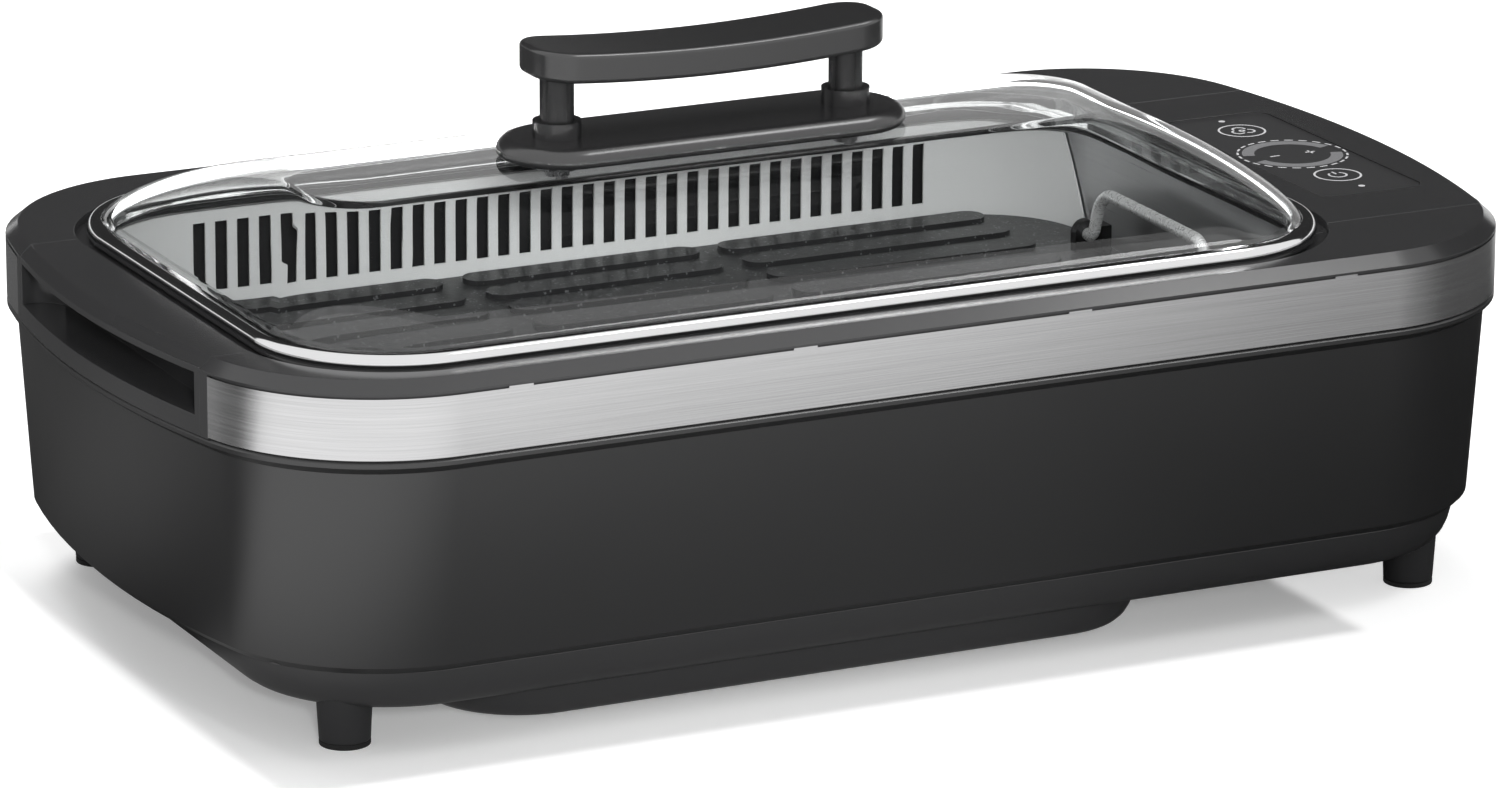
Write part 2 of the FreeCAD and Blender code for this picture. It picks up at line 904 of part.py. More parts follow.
def rear_vent_guard():
    """Slotted steel guard along the rear of the well, with slanted ends on both side walls."""
    outer = liner_inset + guard_setback
    high = z_plate - guard_drop
    guard = ring(well_wire, outer, outer + guard_thickness, z_seat, high)
    reach = half_length
    low_y = well_y + open_half_y - guard_end_low
    high_y = well_y + open_half_y - guard_end_high
    side = Part.Face(Part.makePolygon([
        Vector(-reach, low_y, z_seat), Vector(-reach, half_width, z_seat),
        Vector(-reach, half_width, high), Vector(-reach, high_y, high),
        Vector(-reach, low_y, z_seat)]))
    guard = guard.common(side.extrude(Vector(2 * reach, 0, 0)))
    first = well_x - (slot_count - 1) / 2 * slot_pitch
    low = z_seat + slot_rise
    slots = []
    for index in range(slot_count):
        x = first + index * slot_pitch
        slots.append(block((x - slot_width / 2, 0, low),
                           (x + slot_width / 2, half_width, low + slot_height)))
    return guard.cut(slots)


def drip_tray():
    """Deep tray that hangs by its flange in the pit of the well, with a finger tab at each end."""
    low = z_tray + fit_gap
    rim = z_shelf + fit_gap
    tab_x = tray_half_length + tray_tab_length
    outside = fuse([
        between(tray_wire, low, rim + sheet),
        between(tray_wire, rim, rim + sheet, -tray_flange),
        block((tray_x - tab_x, well_y - tray_tab_half_width, rim),
              (tray_x + tab_x, well_y + tray_tab_half_width, rim + sheet)),
    ])
    return outside.cut(between(tray_wire, low + sheet, rim + cut_over, sheet))


def plate_wire(inset, z):
    """Outline of the grill plate, moved inwards by an inset."""
    return well_wire(plate_inset + inset, z)


def bar_columns():
    """Middle and half length of the three columns of cooking bars."""
    half_middle = middle_bar_length / 2
    outer_end = plate_half_x - bar_end_margin
    outer_start = half_middle + bar_gap
    outer_half = (outer_end - outer_start) / 2
    outer_mid = (outer_end + outer_start) / 2
    return [(well_x - outer_mid, outer_half), (well_x, half_middle), (well_x + outer_mid, outer_half)]


def lug_place(side, hand):
    """Middle of a bail lug: side is the plate's end, hand is the lug's y direction."""
    middle_y = well_y + hand * (bail_foot_half + bail_bend_low + lug_gap + lug_thickness / 2)
    return Vector(bail_x(side), middle_y, bail_z())


def bail_x(side):
    """Pivot of a bail along X."""
    return well_x + side * (plate_half_x - bail_end_inset)


def bail_z():
    """Pivot height of the bails."""
    return plate_high + bail_rise


def grill_plate():
    """Cooking plate with rows of raised bars, and drain slots between the rows."""
    shapes = [between(plate_wire, plate_low, plate_high)]
    drains = []
    first = well_y - (bar_rows - 1) / 2 * bar_pitch
    for row in range(bar_rows):
        y = first + row * bar_pitch
        for x, half in bar_columns():
            bar = obround_wire(x, y, half, bar_width / 2, plate_high - bar_height)
            shapes.append(prism(bar, 2 * bar_height))
            if row < bar_rows - 1:
                drain = obround_wire(x, y + bar_pitch / 2, half - drain_trim, drain_width / 2,
                                     plate_low - cut_over)
                drains.append(prism(drain, plate_thickness + 2 * cut_over))
    return fuse(shapes).cut(drains)


def bail_lug(side, hand):
    """Upright ear with a bore for the bail's pin and a stop that the bail leans on."""
    middle = lug_place(side, hand)
    across = Vector(0, lug_thickness / 2, 0)
    ear = rod(lug_radius, middle - across, middle + across)
    foot = block((middle.x - lug_radius, middle.y - lug_thickness / 2, plate_high),
                 (middle.x + lug_radius, middle.y + lug_thickness / 2, middle.z))
    near = wire_radius + fit_gap + stop_height * math.tan(bail_lean)
    out_x = sorted((middle.x + side * near, middle.x + side * (near + stop_length)))
    out_y = sorted((middle.y, middle.y - hand * (lug_thickness + bail_bend_low)))
    stop = block((out_x[0], out_y[0], plate_high), (out_x[1], out_y[1], bail_z() + stop_height))
    bore = rod(wire_radius + pin_gap, middle - across * 2, middle + across * 2)
    return fuse([ear, foot, stop]).cut(bore)


def bail_lugs():
    """Four lugs that carry the two bails."""
    return group([bail_lug(side, hand) for side in (-1, 1) for hand in (-1, 1)])


def wire_bail(side):
    """Bent wire handle that leans outwards a little at one end of the plate."""
    top = Vector(side * math.sin(bail_lean), 0, math.cos(bail_lean)) * bail_height
    pivot = Vector(bail_x(side), well_y, bail_z())
    pin_half = bail_foot_half + bail_bend_low + lug_gap + lug_thickness
    points = [
        pivot + Vector(0, pin_half, 0),
        pivot + Vector(0, bail_foot_half, 0),
        pivot + Vector(0, bail_top_half, 0) + top,
        pivot - Vector(0, bail_top_half, 0) + top,
        pivot - Vector(0, bail_foot_half, 0),
        pivot - Vector(0, pin_half, 0),
    ]
    radii = [bail_bend_low, bail_bend_high, bail_bend_high, bail_bend_low]
    return tube(points, radii, wire_radius)


def block_x():
    """Middle of the element's terminal block along X."""
    return well_x + plate_half_x - block_end_inset


def element_z():
    """Middle height of the heating element."""
    return plate_low - seat_gap - element_radius


def element_runs():
    """Places of the element's long runs: outer half, left end, turn and right end."""
    outer = plate_half_y - element_side_margin
    left = well_x - plate_half_x + element_end_margin
    right = block_x() - block_half_length - element_end_margin
    turn = left + (right - left) * element_turn_share
    return outer, left, turn, right


def heating_element():
    """Tubular element in four long runs, with both ends at the terminal block."""
    outer, left, turn, right = element_runs()
    start = block_x() - block_half_length
    plan = [(start, -terminal_half), (right, -terminal_half), (right, -outer), (left, -outer),
            (left, -element_inner_half), (turn, -element_inner_half)]
    plan += [(x, -y) for x, y in reversed(plan)]
    points = [Vector(x, well_y + y, element_z()) for x, y in plan]
    return tube(points, [element_bend] * (len(points) - 2), element_radius)


def element_clamps():
    """Straps that hold the long runs of the element to the plate."""
    outer, left, turn, _ = element_runs()
    x = left + (turn - left) * clamp_share
    half_x = clamp_length / 2
    half_y = element_radius + clamp_margin
    low = element_z() - element_radius - clamp_margin
    bore = element_radius + seat_gap
    clamps = []
    for run in (-outer, -element_inner_half, element_inner_half, outer):
        y = well_y + run
        strap = block((x - half_x, y - half_y, low), (x + half_x, y + half_y, plate_low))
        hole = rod(bore, Vector(x - clamp_length, y, element_z()),
                   Vector(x + clamp_length, y, element_z()))
        notch = block((x - clamp_length, y - bore, element_z()),
                      (x + clamp_length, y + bore, plate_low))
        clamps.append(strap.cut([hole, notch]))
    return group(clamps)


def terminal_pins(gap=0):
    """Two plug pins that point down from the terminal block, grown by a gap."""
    high = plate_low - block_height
    return [upright(terminal_radius + gap, block_x(), well_y + hand * terminal_half,
                    high - terminal_drop - gap, high)
            for hand in (-1, 1)]


def element_terminal():
    """Ceramic block at the element's ends, with its two plug pins."""
    low = plate_low - block_height
    body = block((block_x() - block_half_length, well_y - block_half_width, low),
                 (block_x() + block_half_length, well_y + block_half_width, plate_low))
    return fuse([body] + terminal_pins())


def probe_x():
    """Middle of the temperature probe along X."""
    return block_x() - block_half_length - probe_margin


def socket_high():
    """Top face of the heater socket."""
    return z_shelf + socket_height


def heater_socket():
    """Fixed socket on the well's shelf that the terminal pins drop into."""
    body = block((probe_x() - probe_margin, well_y - block_half_width, z_shelf),
                 (block_x() + block_half_length, well_y + block_half_width, socket_high()))
    bores = [pin.fuse(upright(terminal_radius + fit_gap, block_x(), well_y + hand * terminal_half,
                              socket_high() - fit_gap, socket_high() + cut_over))
             for pin, hand in zip(terminal_pins(fit_gap), (-1, 1))]
    return body.cut(bores)


def temperature_probe():
    """Probe that stands on the socket and feels the plate's underside."""
    return upright(probe_radius, probe_x(), well_y, socket_high(), plate_low - probe_clear)


def air_duct():
    """Duct behind the guard and the flat plenum beside the well, open to the blower."""
    def run(shrink):
        return block((well_x - duct_half_length + shrink, duct_front + shrink, duct_low + shrink),
                     (plenum_right - shrink, duct_rear - shrink, duct_high - shrink))

    def plenum(shrink):
        return block((plenum_left + shrink, plenum_front + shrink, plenum_low + shrink),
                     (plenum_right - shrink, duct_rear - shrink, duct_high - shrink))

    mouth = rod(inlet_radius, Vector(plenum_right - duct_wall - cut_over, blower_y, blower_z),
                Vector(plenum_right + cut_over, blower_y, blower_z))
    duct = run(0).fuse(plenum(0)).cut([run(duct_wall), plenum(duct_wall)])
    return duct.cut([rear_window(duct_front - cut_over, duct_front + 2 * duct_wall), mouth])


def on_blower(x):
    """Point on the blower's axis."""
    return Vector(x, blower_y, blower_z)


def motor_screw(index, gap=0):
    """Small screw that holds the motor's flange to the blower housing."""
    angle = 2 * math.pi * index / motor_screw_count
    seat = on_blower(blower_right + motor_flange) + Vector(
        0, motor_screw_circle * math.cos(angle), motor_screw_circle * math.sin(angle))
    return screw(seat, Vector(-1, 0, 0), motor_screw_radius, motor_screw_length,
                 motor_screw_head, board_screw_head_height, gap)


def blower_housing():
    """Round housing with an inlet towards the plenum and an outlet towards the rear wall."""
    wall = blower_wall
    body = rod(blower_radius, on_blower(blower_left), on_blower(blower_right)).fuse(
        block((blower_left, blower_y, blower_low),
              (blower_right, outlet_end, blower_low + outlet_height)))
    space = rod(blower_radius - wall, on_blower(blower_left + wall), on_blower(blower_right - wall))
    way = block((blower_left + wall, blower_y, blower_low + wall),
                (blower_right - wall, outlet_end + cut_over, blower_low + outlet_height - wall))
    inlet = rod(inlet_radius, on_blower(blower_left - cut_over), on_blower(blower_left + 2 * wall))
    back = rod(hub_radius, on_blower(blower_right - 2 * wall), on_blower(blower_right + cut_over))
    screws = [motor_screw(index, pin_gap) for index in range(motor_screw_count)]
    return body.removeSplitter().cut([space, way, inlet, back] + screws)


def impeller():
    """Blower wheel: a back plate with a hub, a ring of blades and a front ring."""
    back = blower_right - blower_wall - wheel_clear
    front = back - wheel_width
    plate = rod(wheel_radius, on_blower(back - wheel_plate), on_blower(back))
    hub = rod(hub_radius, on_blower(back - wheel_width / 2), on_blower(back))
    rim = rod(wheel_radius, on_blower(front), on_blower(front + wheel_plate))
    rim = rim.cut(rod(wheel_radius - blade_depth, on_blower(front - cut_over),
                      on_blower(front + cut_over)))
    blades = []
    for index in range(blade_count):
        blade = block((front, -blade_thickness / 2, wheel_radius - blade_depth),
                      (back, blade_thickness / 2, wheel_radius - blade_thickness))
        blade.rotate(Vector(0, 0, 0), Vector(1, 0, 0), 360 * index / blade_count)
        blade.translate(on_blower(0))
        blades.append(blade)
    wheel = fuse([plate, hub, rim] + blades)
    return wheel.cut(rod(shaft_radius, on_blower(front), on_blower(back + cut_over)))


def motor_shaft():
    """Shaft from the motor into the wheel's hub."""
    back = blower_right - blower_wall - wheel_clear
    return rod(shaft_radius, on_blower(back - wheel_width / 2),
               on_blower(blower_right + motor_length - motor_flange))


def fan_motor():
    """Round motor with a mounting flange on the blower housing and a bore for its shaft."""
    flange = rod(motor_flange_radius, on_blower(blower_right), on_blower(blower_right + motor_flange))
    can = rod(motor_radius, on_blower(blower_right), on_blower(blower_right + motor_length))
    bore = rod(shaft_radius + pin_gap, on_blower(blower_right - cut_over),
               on_blower(blower_right + motor_length - motor_flange + fit_gap))
    screws = [motor_screw(index, pin_gap) for index in range(motor_screw_count)]
    return fuse([flange, can]).cut([bore] + screws)


def blower_bracket():
    """Bent bracket that carries the blower's outlet on the bottom cover."""
    middle = (blower_left + blower_right) / 2
    near = blower_y + bracket_near
    far = blower_y + bracket_far
    outside = block((middle - bracket_half_length, near, z_cover),
                    (middle + bracket_half_length, far, blower_low))
    inside = block((middle - bracket_half_length - cut_over, near + bracket_sheet, z_cover - cut_over),
                   (middle + bracket_half_length + cut_over, far - bracket_sheet,
                    blower_low - bracket_sheet))
    return outside.cut(inside)


def exhaust_grille():
    """Slotted insert that follows the rear corner of the base shell."""
    grille = base_wall().common(grille_window(seat_gap))
    width = blower_width - 2 * grille_margin
    pitch = width / grille_slot_count
    low = blower_low + 2 * grille_margin
    high = blower_low + outlet_height - 2 * grille_margin
    slots = []
    for index in range(grille_slot_count):
        x = blower_left + grille_margin + (index + 1 / 2) * pitch
        slots.append(block((x - grille_slot_width / 2, outlet_end - cut_over, low),
                           (x + grille_slot_width / 2, half_width + cut_over, high)))
    return grille.cut(slots)


def power_inlet():
    """Flush power socket in the rear wall, with a flange that follows the wall."""
    x, z = power_inlet_middle()
    half_x = inlet_half_length + inlet_flange
    half_z = inlet_half_height + inlet_flange
    front = half_width - shell_inset_bottom - shell_wall
    face = block((x - half_x, front, z - half_z), (x + half_x, half_width, z + half_z))
    flange = shell_solid(inlet_flange_depth).common(face).cut(shell_solid(0))
    body = power_inlet_body(0).common(shell_solid(inlet_flange_depth))
    rear = half_width - shell_inset_top - inlet_depth
    open_x = inlet_half_length - inlet_wall
    open_z = inlet_half_height - inlet_wall
    socket = block((x - open_x, rear + inlet_wall, z - open_z), (x + open_x, half_width, z + open_z))
    return fuse([flange, body]).cut(socket)


def inlet_pins():
    """Three flat contacts inside the power inlet."""
    x, z = power_inlet_middle()
    floor = half_width - shell_inset_top - inlet_depth + inlet_wall
    pins = []
    for step in (-1, 0, 1):
        middle = x + step * inlet_pin_pitch
        pins.append(block((middle - inlet_pin_thickness / 2, floor, z - inlet_pin_width / 2),
                          (middle + inlet_pin_thickness / 2, floor + inlet_pin_length,
                           z + inlet_pin_width / 2)))
    return group(pins)


def power_board():
    """Power board with its relays and coil, on bosses of the bottom cover."""
    x = half_length - power_end_inset
    low = z_cover + power_rise
    high = low + board_thickness
    board = block((x - power_half_length, power_y - power_half_width, low),
                  (x + power_half_length, power_y + power_half_width, high))
    relay_y = power_y - power_half_width / 2
    relays = [block((middle - relay_half, relay_y - relay_half, high),
                    (middle + relay_half, relay_y + relay_half, high + relay_height))
              for middle in (x - power_half_length / 2, x + power_half_length / 2)]
    coil_y = power_y + power_half_width / 2
    coil = block((x - coil_half_length, coil_y - coil_half_width, high),
                 (x + coil_half_length, coil_y + coil_half_width, high + coil_height))
    return fuse([board, coil] + relays)


def lid_wire(inset, z):
    """Outline of the lid's rim, moved inwards by an inset."""
    return round_wire(well_x, well_y, lid_half_x - inset, lid_half_y - inset, lid_corner - inset, z)


def lid_rim():
    """Rounded steel rim with an inner shelf that carries the glass."""
    outside = loft([
        lid_wire(2 * rim_round, rim_low),
        lid_wire(rim_round / 2, rim_low + rim_round),
        lid_wire(0, rim_low + rim_height / 2),
        lid_wire(rim_round / 2, rim_high - rim_round),
        lid_wire(2 * rim_round, rim_high),
    ])
    return outside.cut([between(lid_wire, glass_low, rim_high + cut_over, rim_width),
                        between(lid_wire, rim_low - cut_over, rim_high, rim_width + rim_shelf)])


def dome_solid(shrink, drop):
    """Lid dome with shoulders on quarter ellipses, shrunk by a wall and drawn down by a drop."""
    start_inset = rim_width + glass_gap + shrink
    start_corner = lid_corner - start_inset

    def wire_at(share, z):
        corner = start_corner + (crown_corner - start_corner) * share
        return round_wire(well_x, well_y, lid_half_x - start_inset - shoulder_end * share,
                          lid_half_y - start_inset - shoulder_side * share, corner, z)

    skirt = prism(wire_at(0, glass_low - drop), rim_high - glass_low + drop)
    rise = glass_high - shrink - rim_high
    return fuse([skirt, quarter_loft(wire_at, 1, rim_high, rise, shoulder_power)])


def handle_places():
    """Middles of the two handle posts along X."""
    return [well_x - post_pitch / 2, well_x + post_pitch / 2]


def handle_screw(x, gap=0):
    """Screw from inside the lid up into a handle post."""
    seat = Vector(x, well_y, glass_high - glass_thickness - washer_thickness)
    return screw(seat, Vector(0, 0, 1), handle_screw_radius, handle_screw_length,
                 handle_screw_head, screw_head_height, gap)


def lid_glass():
    """Clear domed glass with two holes for the handle's screws."""
    glass = dome_solid(0, 0).cut(dome_solid(glass_thickness, cut_over))
    return glass.cut([handle_screw(x, glass_gap) for x in handle_places()])


def handle_base():
    """Rounded pad on the glass under the handle."""
    def wire_at(inset, z):
        return obround_wire(well_x, well_y, handle_half_length - inset, handle_half_width - inset, z)
    widest = glass_high + handle_base_widest
    under = quarter_loft(wire_at, handle_base_under, widest, -handle_base_widest)
    upper = quarter_loft(wire_at, handle_base_draft, widest, handle_base_height - handle_base_widest)
    pad = fuse([under, upper])
    return pad.cut([handle_screw(x, pin_gap) for x in handle_places()])


def handle_posts():
    """Two round posts from the pad into the grip."""
    posts = [upright(handle_post_radius, x, well_y, handle_base_high, post_high)
             for x in handle_places()]
    return group([post.cut(handle_screw(x, pin_gap)) for post, x in zip(posts, handle_places())])


def handle_collars():
    """Collars round the feet of the posts."""
    collars = []
    for x in handle_places():
        collar = upright(collar_radius, x, well_y, handle_base_high, handle_base_high + collar_height)
        collars.append(collar.cut(upright(handle_post_radius + pin_gap, x, well_y, 0, post_high)))
    return group(collars)


def grip_section(z):
    """Upright rounded section of the grip at its left end, from a lower height."""
    flat = round_wire(0, 0, grip_half_width, grip_height / 2, grip_edge, 0)
    flat.rotate(Vector(0, 0, 0), Vector(1, 0, 0), 90)
    flat.rotate(Vector(0, 0, 0), Vector(0, 0, 1), 90)
    flat.translate(Vector(well_x - grip_half_length - cut_over, well_y, z + grip_height / 2))
    return flat


def handle_grip():
    """Grip that sags a little towards its middle, with rounded ends and two post sockets."""
    reach = grip_half_length + cut_over
    end_z = grip_low + grip_sag + grip_height / 2
    path = Part.Wire(arc(Vector(well_x - reach, well_y, end_z),
                         Vector(well_x, well_y, end_z - grip_sag),
                         Vector(well_x + reach, well_y, end_z)))
    bar = path.makePipeShell([grip_section(grip_low + grip_sag)], True, False)
    outline = round_wire(well_x, well_y, grip_half_length, grip_half_width + cut_over, grip_corner,
                         grip_low)
    plan = prism(outline, grip_height + 2 * grip_sag)
    sockets = [upright(handle_post_radius + pin_gap, x, well_y, handle_base_high, post_high)
               for x in handle_places()]
    return bar.common(plan).cut(sockets)


def handle_washers():
    """Washers between the handle's screws and the glass."""
    low = glass_high - glass_thickness - washer_thickness
    washers = []
    for x in handle_places():
        disc = upright(washer_radius, x, well_y, low, low + washer_thickness)
        washers.append(disc.cut(handle_screw(x, pin_gap)))
    return group(washers)


def parts():
    """Every node's name and solid."""
    band_front, band_rear = steel_bands()
    frame_front, frame_rear = frame_pieces()
    return {
        "base_shell": base_shell(),
        "bottom_cover": bottom_cover(),
        "feet": feet(),
        "foot_pads": foot_pads(),
        "band_front": band_front,
        "band_rear": band_rear,
        "top_frame_front": frame_front,
        "top_frame_rear": frame_rear,
        "left_end_cover": end_cover(-1, pocket_depth_left),
        "right_end_cover": right_end_cover(),
        "touch_panel": touch_panel(),
        "control_board": control_board(),
        "well_liner": well_liner(),
        "rear_vent_guard": rear_vent_guard(),
        "drip_tray": drip_tray(),
        "grill_plate": grill_plate(),
        "bail_lugs": bail_lugs(),
        "left_bail": wire_bail(-1),
        "right_bail": wire_bail(1),
        "heating_element": heating_element(),
        "element_clamps": element_clamps(),
        "element_terminal": element_terminal(),
        "heater_socket": heater_socket(),
        "temperature_probe": temperature_probe(),
        "air_duct": air_duct(),
        "blower_housing": blower_housing(),
        "impeller": impeller(),
        "motor_shaft": motor_shaft(),
        "fan_motor": fan_motor(),
        "blower_bracket": blower_bracket(),
        "exhaust_grille": exhaust_grille(),
        "power_inlet": power_inlet(),
        "inlet_pins": inlet_pins(),
        "power_board": power_board(),
        "lid_rim": lid_rim(),
        "lid_glass": lid_glass(),
        "handle_base": handle_base(),
        "handle_posts": handle_posts(),
        "handle_collars": handle_collars(),
        "handle_grip": handle_grip(),
        "handle_washers": handle_washers(),
        "handle_screws": group([handle_screw(x) for x in handle_places()]),
        "frame_screws": group([frame_screw(place) for place in post_places()]),
        "cover_screws": group([cover_screw(place) for place in cover_screw_places()]),
        "board_screws": group([board_screw(place) for place in board_places()]),
        "motor_screws": group([motor_screw(index) for index in range(motor_screw_count)]),
    }


os.makedirs("parts", exist_ok=True)
for name, shape in parts().items():
    shape.exportStep(f"parts/{name}.step")
    print(name, "solids", len(shape.Solids), "valid", shape.isValid(),
          "volume", round(shape.Volume))
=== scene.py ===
"""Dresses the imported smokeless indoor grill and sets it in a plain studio.

The lid, the handle and the print on the touch panel are surfaces worked out with numpy. The other
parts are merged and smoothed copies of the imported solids. Lengths in the classes of the grill are
millimetres, and they become metres where a mesh is made. The finishes and the studio are in metres.
"""
import json
import logging
import math
from dataclasses import dataclass, field
from enum import Enum

import bmesh
import bpy
import numpy as np
from mathutils import Matrix, Vector


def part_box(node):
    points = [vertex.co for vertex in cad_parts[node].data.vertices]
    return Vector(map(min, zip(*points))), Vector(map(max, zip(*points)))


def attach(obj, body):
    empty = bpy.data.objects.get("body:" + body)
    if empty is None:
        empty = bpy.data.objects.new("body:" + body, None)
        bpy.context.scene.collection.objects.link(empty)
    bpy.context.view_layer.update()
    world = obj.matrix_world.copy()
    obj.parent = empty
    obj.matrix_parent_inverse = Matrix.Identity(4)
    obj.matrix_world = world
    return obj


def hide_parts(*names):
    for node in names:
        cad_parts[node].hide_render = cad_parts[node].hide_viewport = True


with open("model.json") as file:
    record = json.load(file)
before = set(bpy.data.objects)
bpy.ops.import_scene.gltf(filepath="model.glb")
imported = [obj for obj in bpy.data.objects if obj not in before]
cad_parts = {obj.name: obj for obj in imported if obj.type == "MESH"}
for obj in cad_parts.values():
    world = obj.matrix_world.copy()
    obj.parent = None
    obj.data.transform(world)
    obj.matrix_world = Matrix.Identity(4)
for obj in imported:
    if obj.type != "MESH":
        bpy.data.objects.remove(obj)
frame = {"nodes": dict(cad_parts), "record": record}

log = logging.getLogger("grill")
Array = np.ndarray
Colour = tuple[float, float, float]
Point = tuple[float, float, float]
Pair = tuple[float, float]
MM = 0.001
SHARP = 38.0
LID_CENTRE: Pair = (-25.05, -9.7)
BODY_OF = {node: body for body, nodes in frame["record"]["behaviour"]["bodies"].items() for node in nodes}
SLOT_OF = {part["node"]: part["material_slot"] for part in frame["record"]["subparts"]}
MATERIALS: dict[str, bpy.types.Material] = {}


class Brush(Enum):
    """The way the lines of a brushed sheet run, as noise scales along x, y and z."""

    LEVEL = (6.0, 6.0, 900.0)
    LENGTHWISE = (5.0, 700.0, 700.0)
    UPRIGHT = (420.0, 420.0, 5.0)


class Value:
    """One shader value: a socket whose operators add Math nodes."""

    def __init__(self, shade: "Shade", socket: bpy.types.NodeSocket) -> None:
        """Keeps the tree that the socket belongs to."""
        self.shade = shade
        self.socket = socket

    def _math(self, operation: str, first: "Value | float", second: "Value | float") -> "Value":
        """Adds one Math node on two values."""
        return self.shade.node("ShaderNodeMath", {"operation": operation}, {0: first, 1: second})

    def __add__(self, other: "Value | float") -> "Value":
        """self + other."""
        return self._math("ADD", self, other)

    def __radd__(self, other: float) -> "Value":
        """other + self."""
        return self._math("ADD", other, self)

    def __sub__(self, other: "Value | float") -> "Value":
        """self - other."""
        return self._math("SUBTRACT", self, other)

    def __rsub__(self, other: float) -> "Value":
        """other - self."""
        return self._math("SUBTRACT", other, self)

    def __mul__(self, other: "Value | float") -> "Value":
        """self * other."""
        return self._math("MULTIPLY", self, other)

    def __rmul__(self, other: float) -> "Value":
        """other * self."""
        return self._math("MULTIPLY", other, self)

    def above(self, limit: float) -> "Value":
        """One where the value is over the limit and nought elsewhere."""
        return self._math("GREATER_THAN", self, limit)

    def larger(self, other: "Value | float") -> "Value":
        """The larger of two values."""
        return self._math("MAXIMUM", self, other)


class Shade:
    """A material or world whose node tree is being made."""

    def __init__(self, owner: bpy.types.Material | bpy.types.World, output: str) -> None:
        """Starts from an empty tree with one output node.

        Args:
            owner: The material or the world.
            output: The type of its output node.
        """
        owner.use_nodes = True
        self.owner = owner
        self.tree = owner.node_tree
        self.tree.nodes.clear()
        self.output = self.tree.nodes.new(output)

    @classmethod
    def new_material(cls, name: str) -> "Shade":
        """Starts a new material."""
        return cls(bpy.data.materials.new(name), "ShaderNodeOutputMaterial")

    def node(self, kind: str, settings: dict | None = None, inputs: dict | None = None,
             output: int | str = 0) -> Value:
        """Adds one node.

        Args:
            kind: The node's type.
            settings: Its properties, which are set first. The key stops gives a ramp its stops.
            inputs: Values or links of its sockets, by name or by number.
            output: The socket that is given back.

        Returns:
            The node's output as a value.
        """
        made = self.tree.nodes.new(kind)
        for key, value in (settings or {}).items():
            if key == "stops":
                ramp = made.color_ramp
                for place, _ in value[2:]:
                    ramp.elements.new(place)
                for element, (place, grey) in zip(ramp.elements, sorted(value)):
                    element.position = place
                    element.color = (grey, grey, grey, 1.0)
            else:
                setattr(made, key, value)
        for key, value in (inputs or {}).items():
            if isinstance(value, Value):
                self.tree.links.new(value.socket, made.inputs[key])
            else:
                made.inputs[key].default_value = value
        return Value(self, made.outputs[output])

    def place(self) -> Value:
        """The point's Object coordinates."""
        return self.node("ShaderNodeTexCoord", output="Object")

    def noise(self, scale: float, detail: float = 2.0, stretch: Point | None = None,
              roughness: float = 0.5) -> Value:
        """A noise over the piece, on Object coordinates in metres.

        Args:
            scale: How many cells there are to a metre.
            detail: How many octaves are added.
            stretch: Scales along x, y and z, where the noise isn't the same all ways.
            roughness: How strong the added octaves are.

        Returns:
            The noise, from nought to one.
        """
        where = self.place()
        if stretch:
            inputs = {"Vector": where, "Scale": stretch}
            where = self.node("ShaderNodeMapping", {"vector_type": "POINT"}, inputs)
        inputs = {"Vector": where, "Scale": scale, "Detail": detail, "Roughness": roughness}
        return self.node("ShaderNodeTexNoise", {"noise_dimensions": "3D"}, inputs)

    def tint(self, share: Value, low: Colour, high: Colour) -> Value:
        """A colour between two colours.

        Args:
            share: How far it is from the first to the second.
            low: The colour at nought.
            high: The colour at one.

        Returns:
            The mixed colour.
        """
        inputs = {0: share, 6: (*low, 1.0), 7: (*high, 1.0)}
        return self.node("ShaderNodeMix", {"data_type": "RGBA"}, inputs, 2)

    def bump(self, height: Value, strength: float, distance: float) -> Value:
        """A Bump node on a height, with its depth in metres."""
        inputs = {"Height": height, "Strength": strength, "Distance": distance}
        return self.node("ShaderNodeBump", None, inputs)

    def vector(self, operation: str, first: Value, second: Value | Point | None = None,
               output: str = "Vector") -> Value:
        """Adds one Vector Math node.

        Args:
            operation: What it does.
            first: Its first vector.
            second: Its second vector, where it takes two.
            output: The socket that is given back.

        Returns:
            The node's output as a value.
        """
        inputs = {0: first} if second is None else {0: first, 1: second}
        return self.node("ShaderNodeVectorMath", {"operation": operation}, inputs, output)

    def eased(self, value: Value, start: float, end: float, low: float, high: float) -> Value:
        """A smooth step from low to high while a value goes from start to end."""
        inputs = {"Value": value, "From Min": start, "From Max": end, "To Min": low, "To Max": high}
        return self.node("ShaderNodeMapRange", {"interpolation_type": "SMOOTHSTEP"}, inputs)

    def principled(self, inputs: dict) -> Value:
        """A Principled shader with these values or links of its sockets."""
        return self.node("ShaderNodeBsdfPrincipled", None, inputs)

    def close(self, shader: Value) -> None:
        """Links a shader to the output."""
        self.tree.links.new(shader.socket, self.output.inputs["Surface"])


def scaled(colour: Colour, share: float) -> Colour:
    """A colour made lighter or darker."""
    return tuple(min(1.0, channel * share) for channel in colour)


def spread_of(colour: Colour, spread: float) -> tuple[Colour, Colour]:
    """A colour made darker and made lighter by the same share."""
    return scaled(colour, 1.0 - spread), scaled(colour, 1.0 + spread)


class Finish:
    """What a surface is made of. The finishes below say how it is shaded."""

    def shader(self, shade: Shade) -> Value:
        """Adds the finish's nodes and gives back its shader."""
        raise NotImplementedError

    def material(self, name: str) -> bpy.types.Material:
        """Makes the material, or gives back the one already made under that name.

        Args:
            name: The finish's name.

        Returns:
            The material.
        """
        if name not in MATERIALS:
            shade = Shade.new_material(name + "_finish")
            shade.close(self.shader(shade))
            MATERIALS[name] = shade.owner
        return MATERIALS[name]


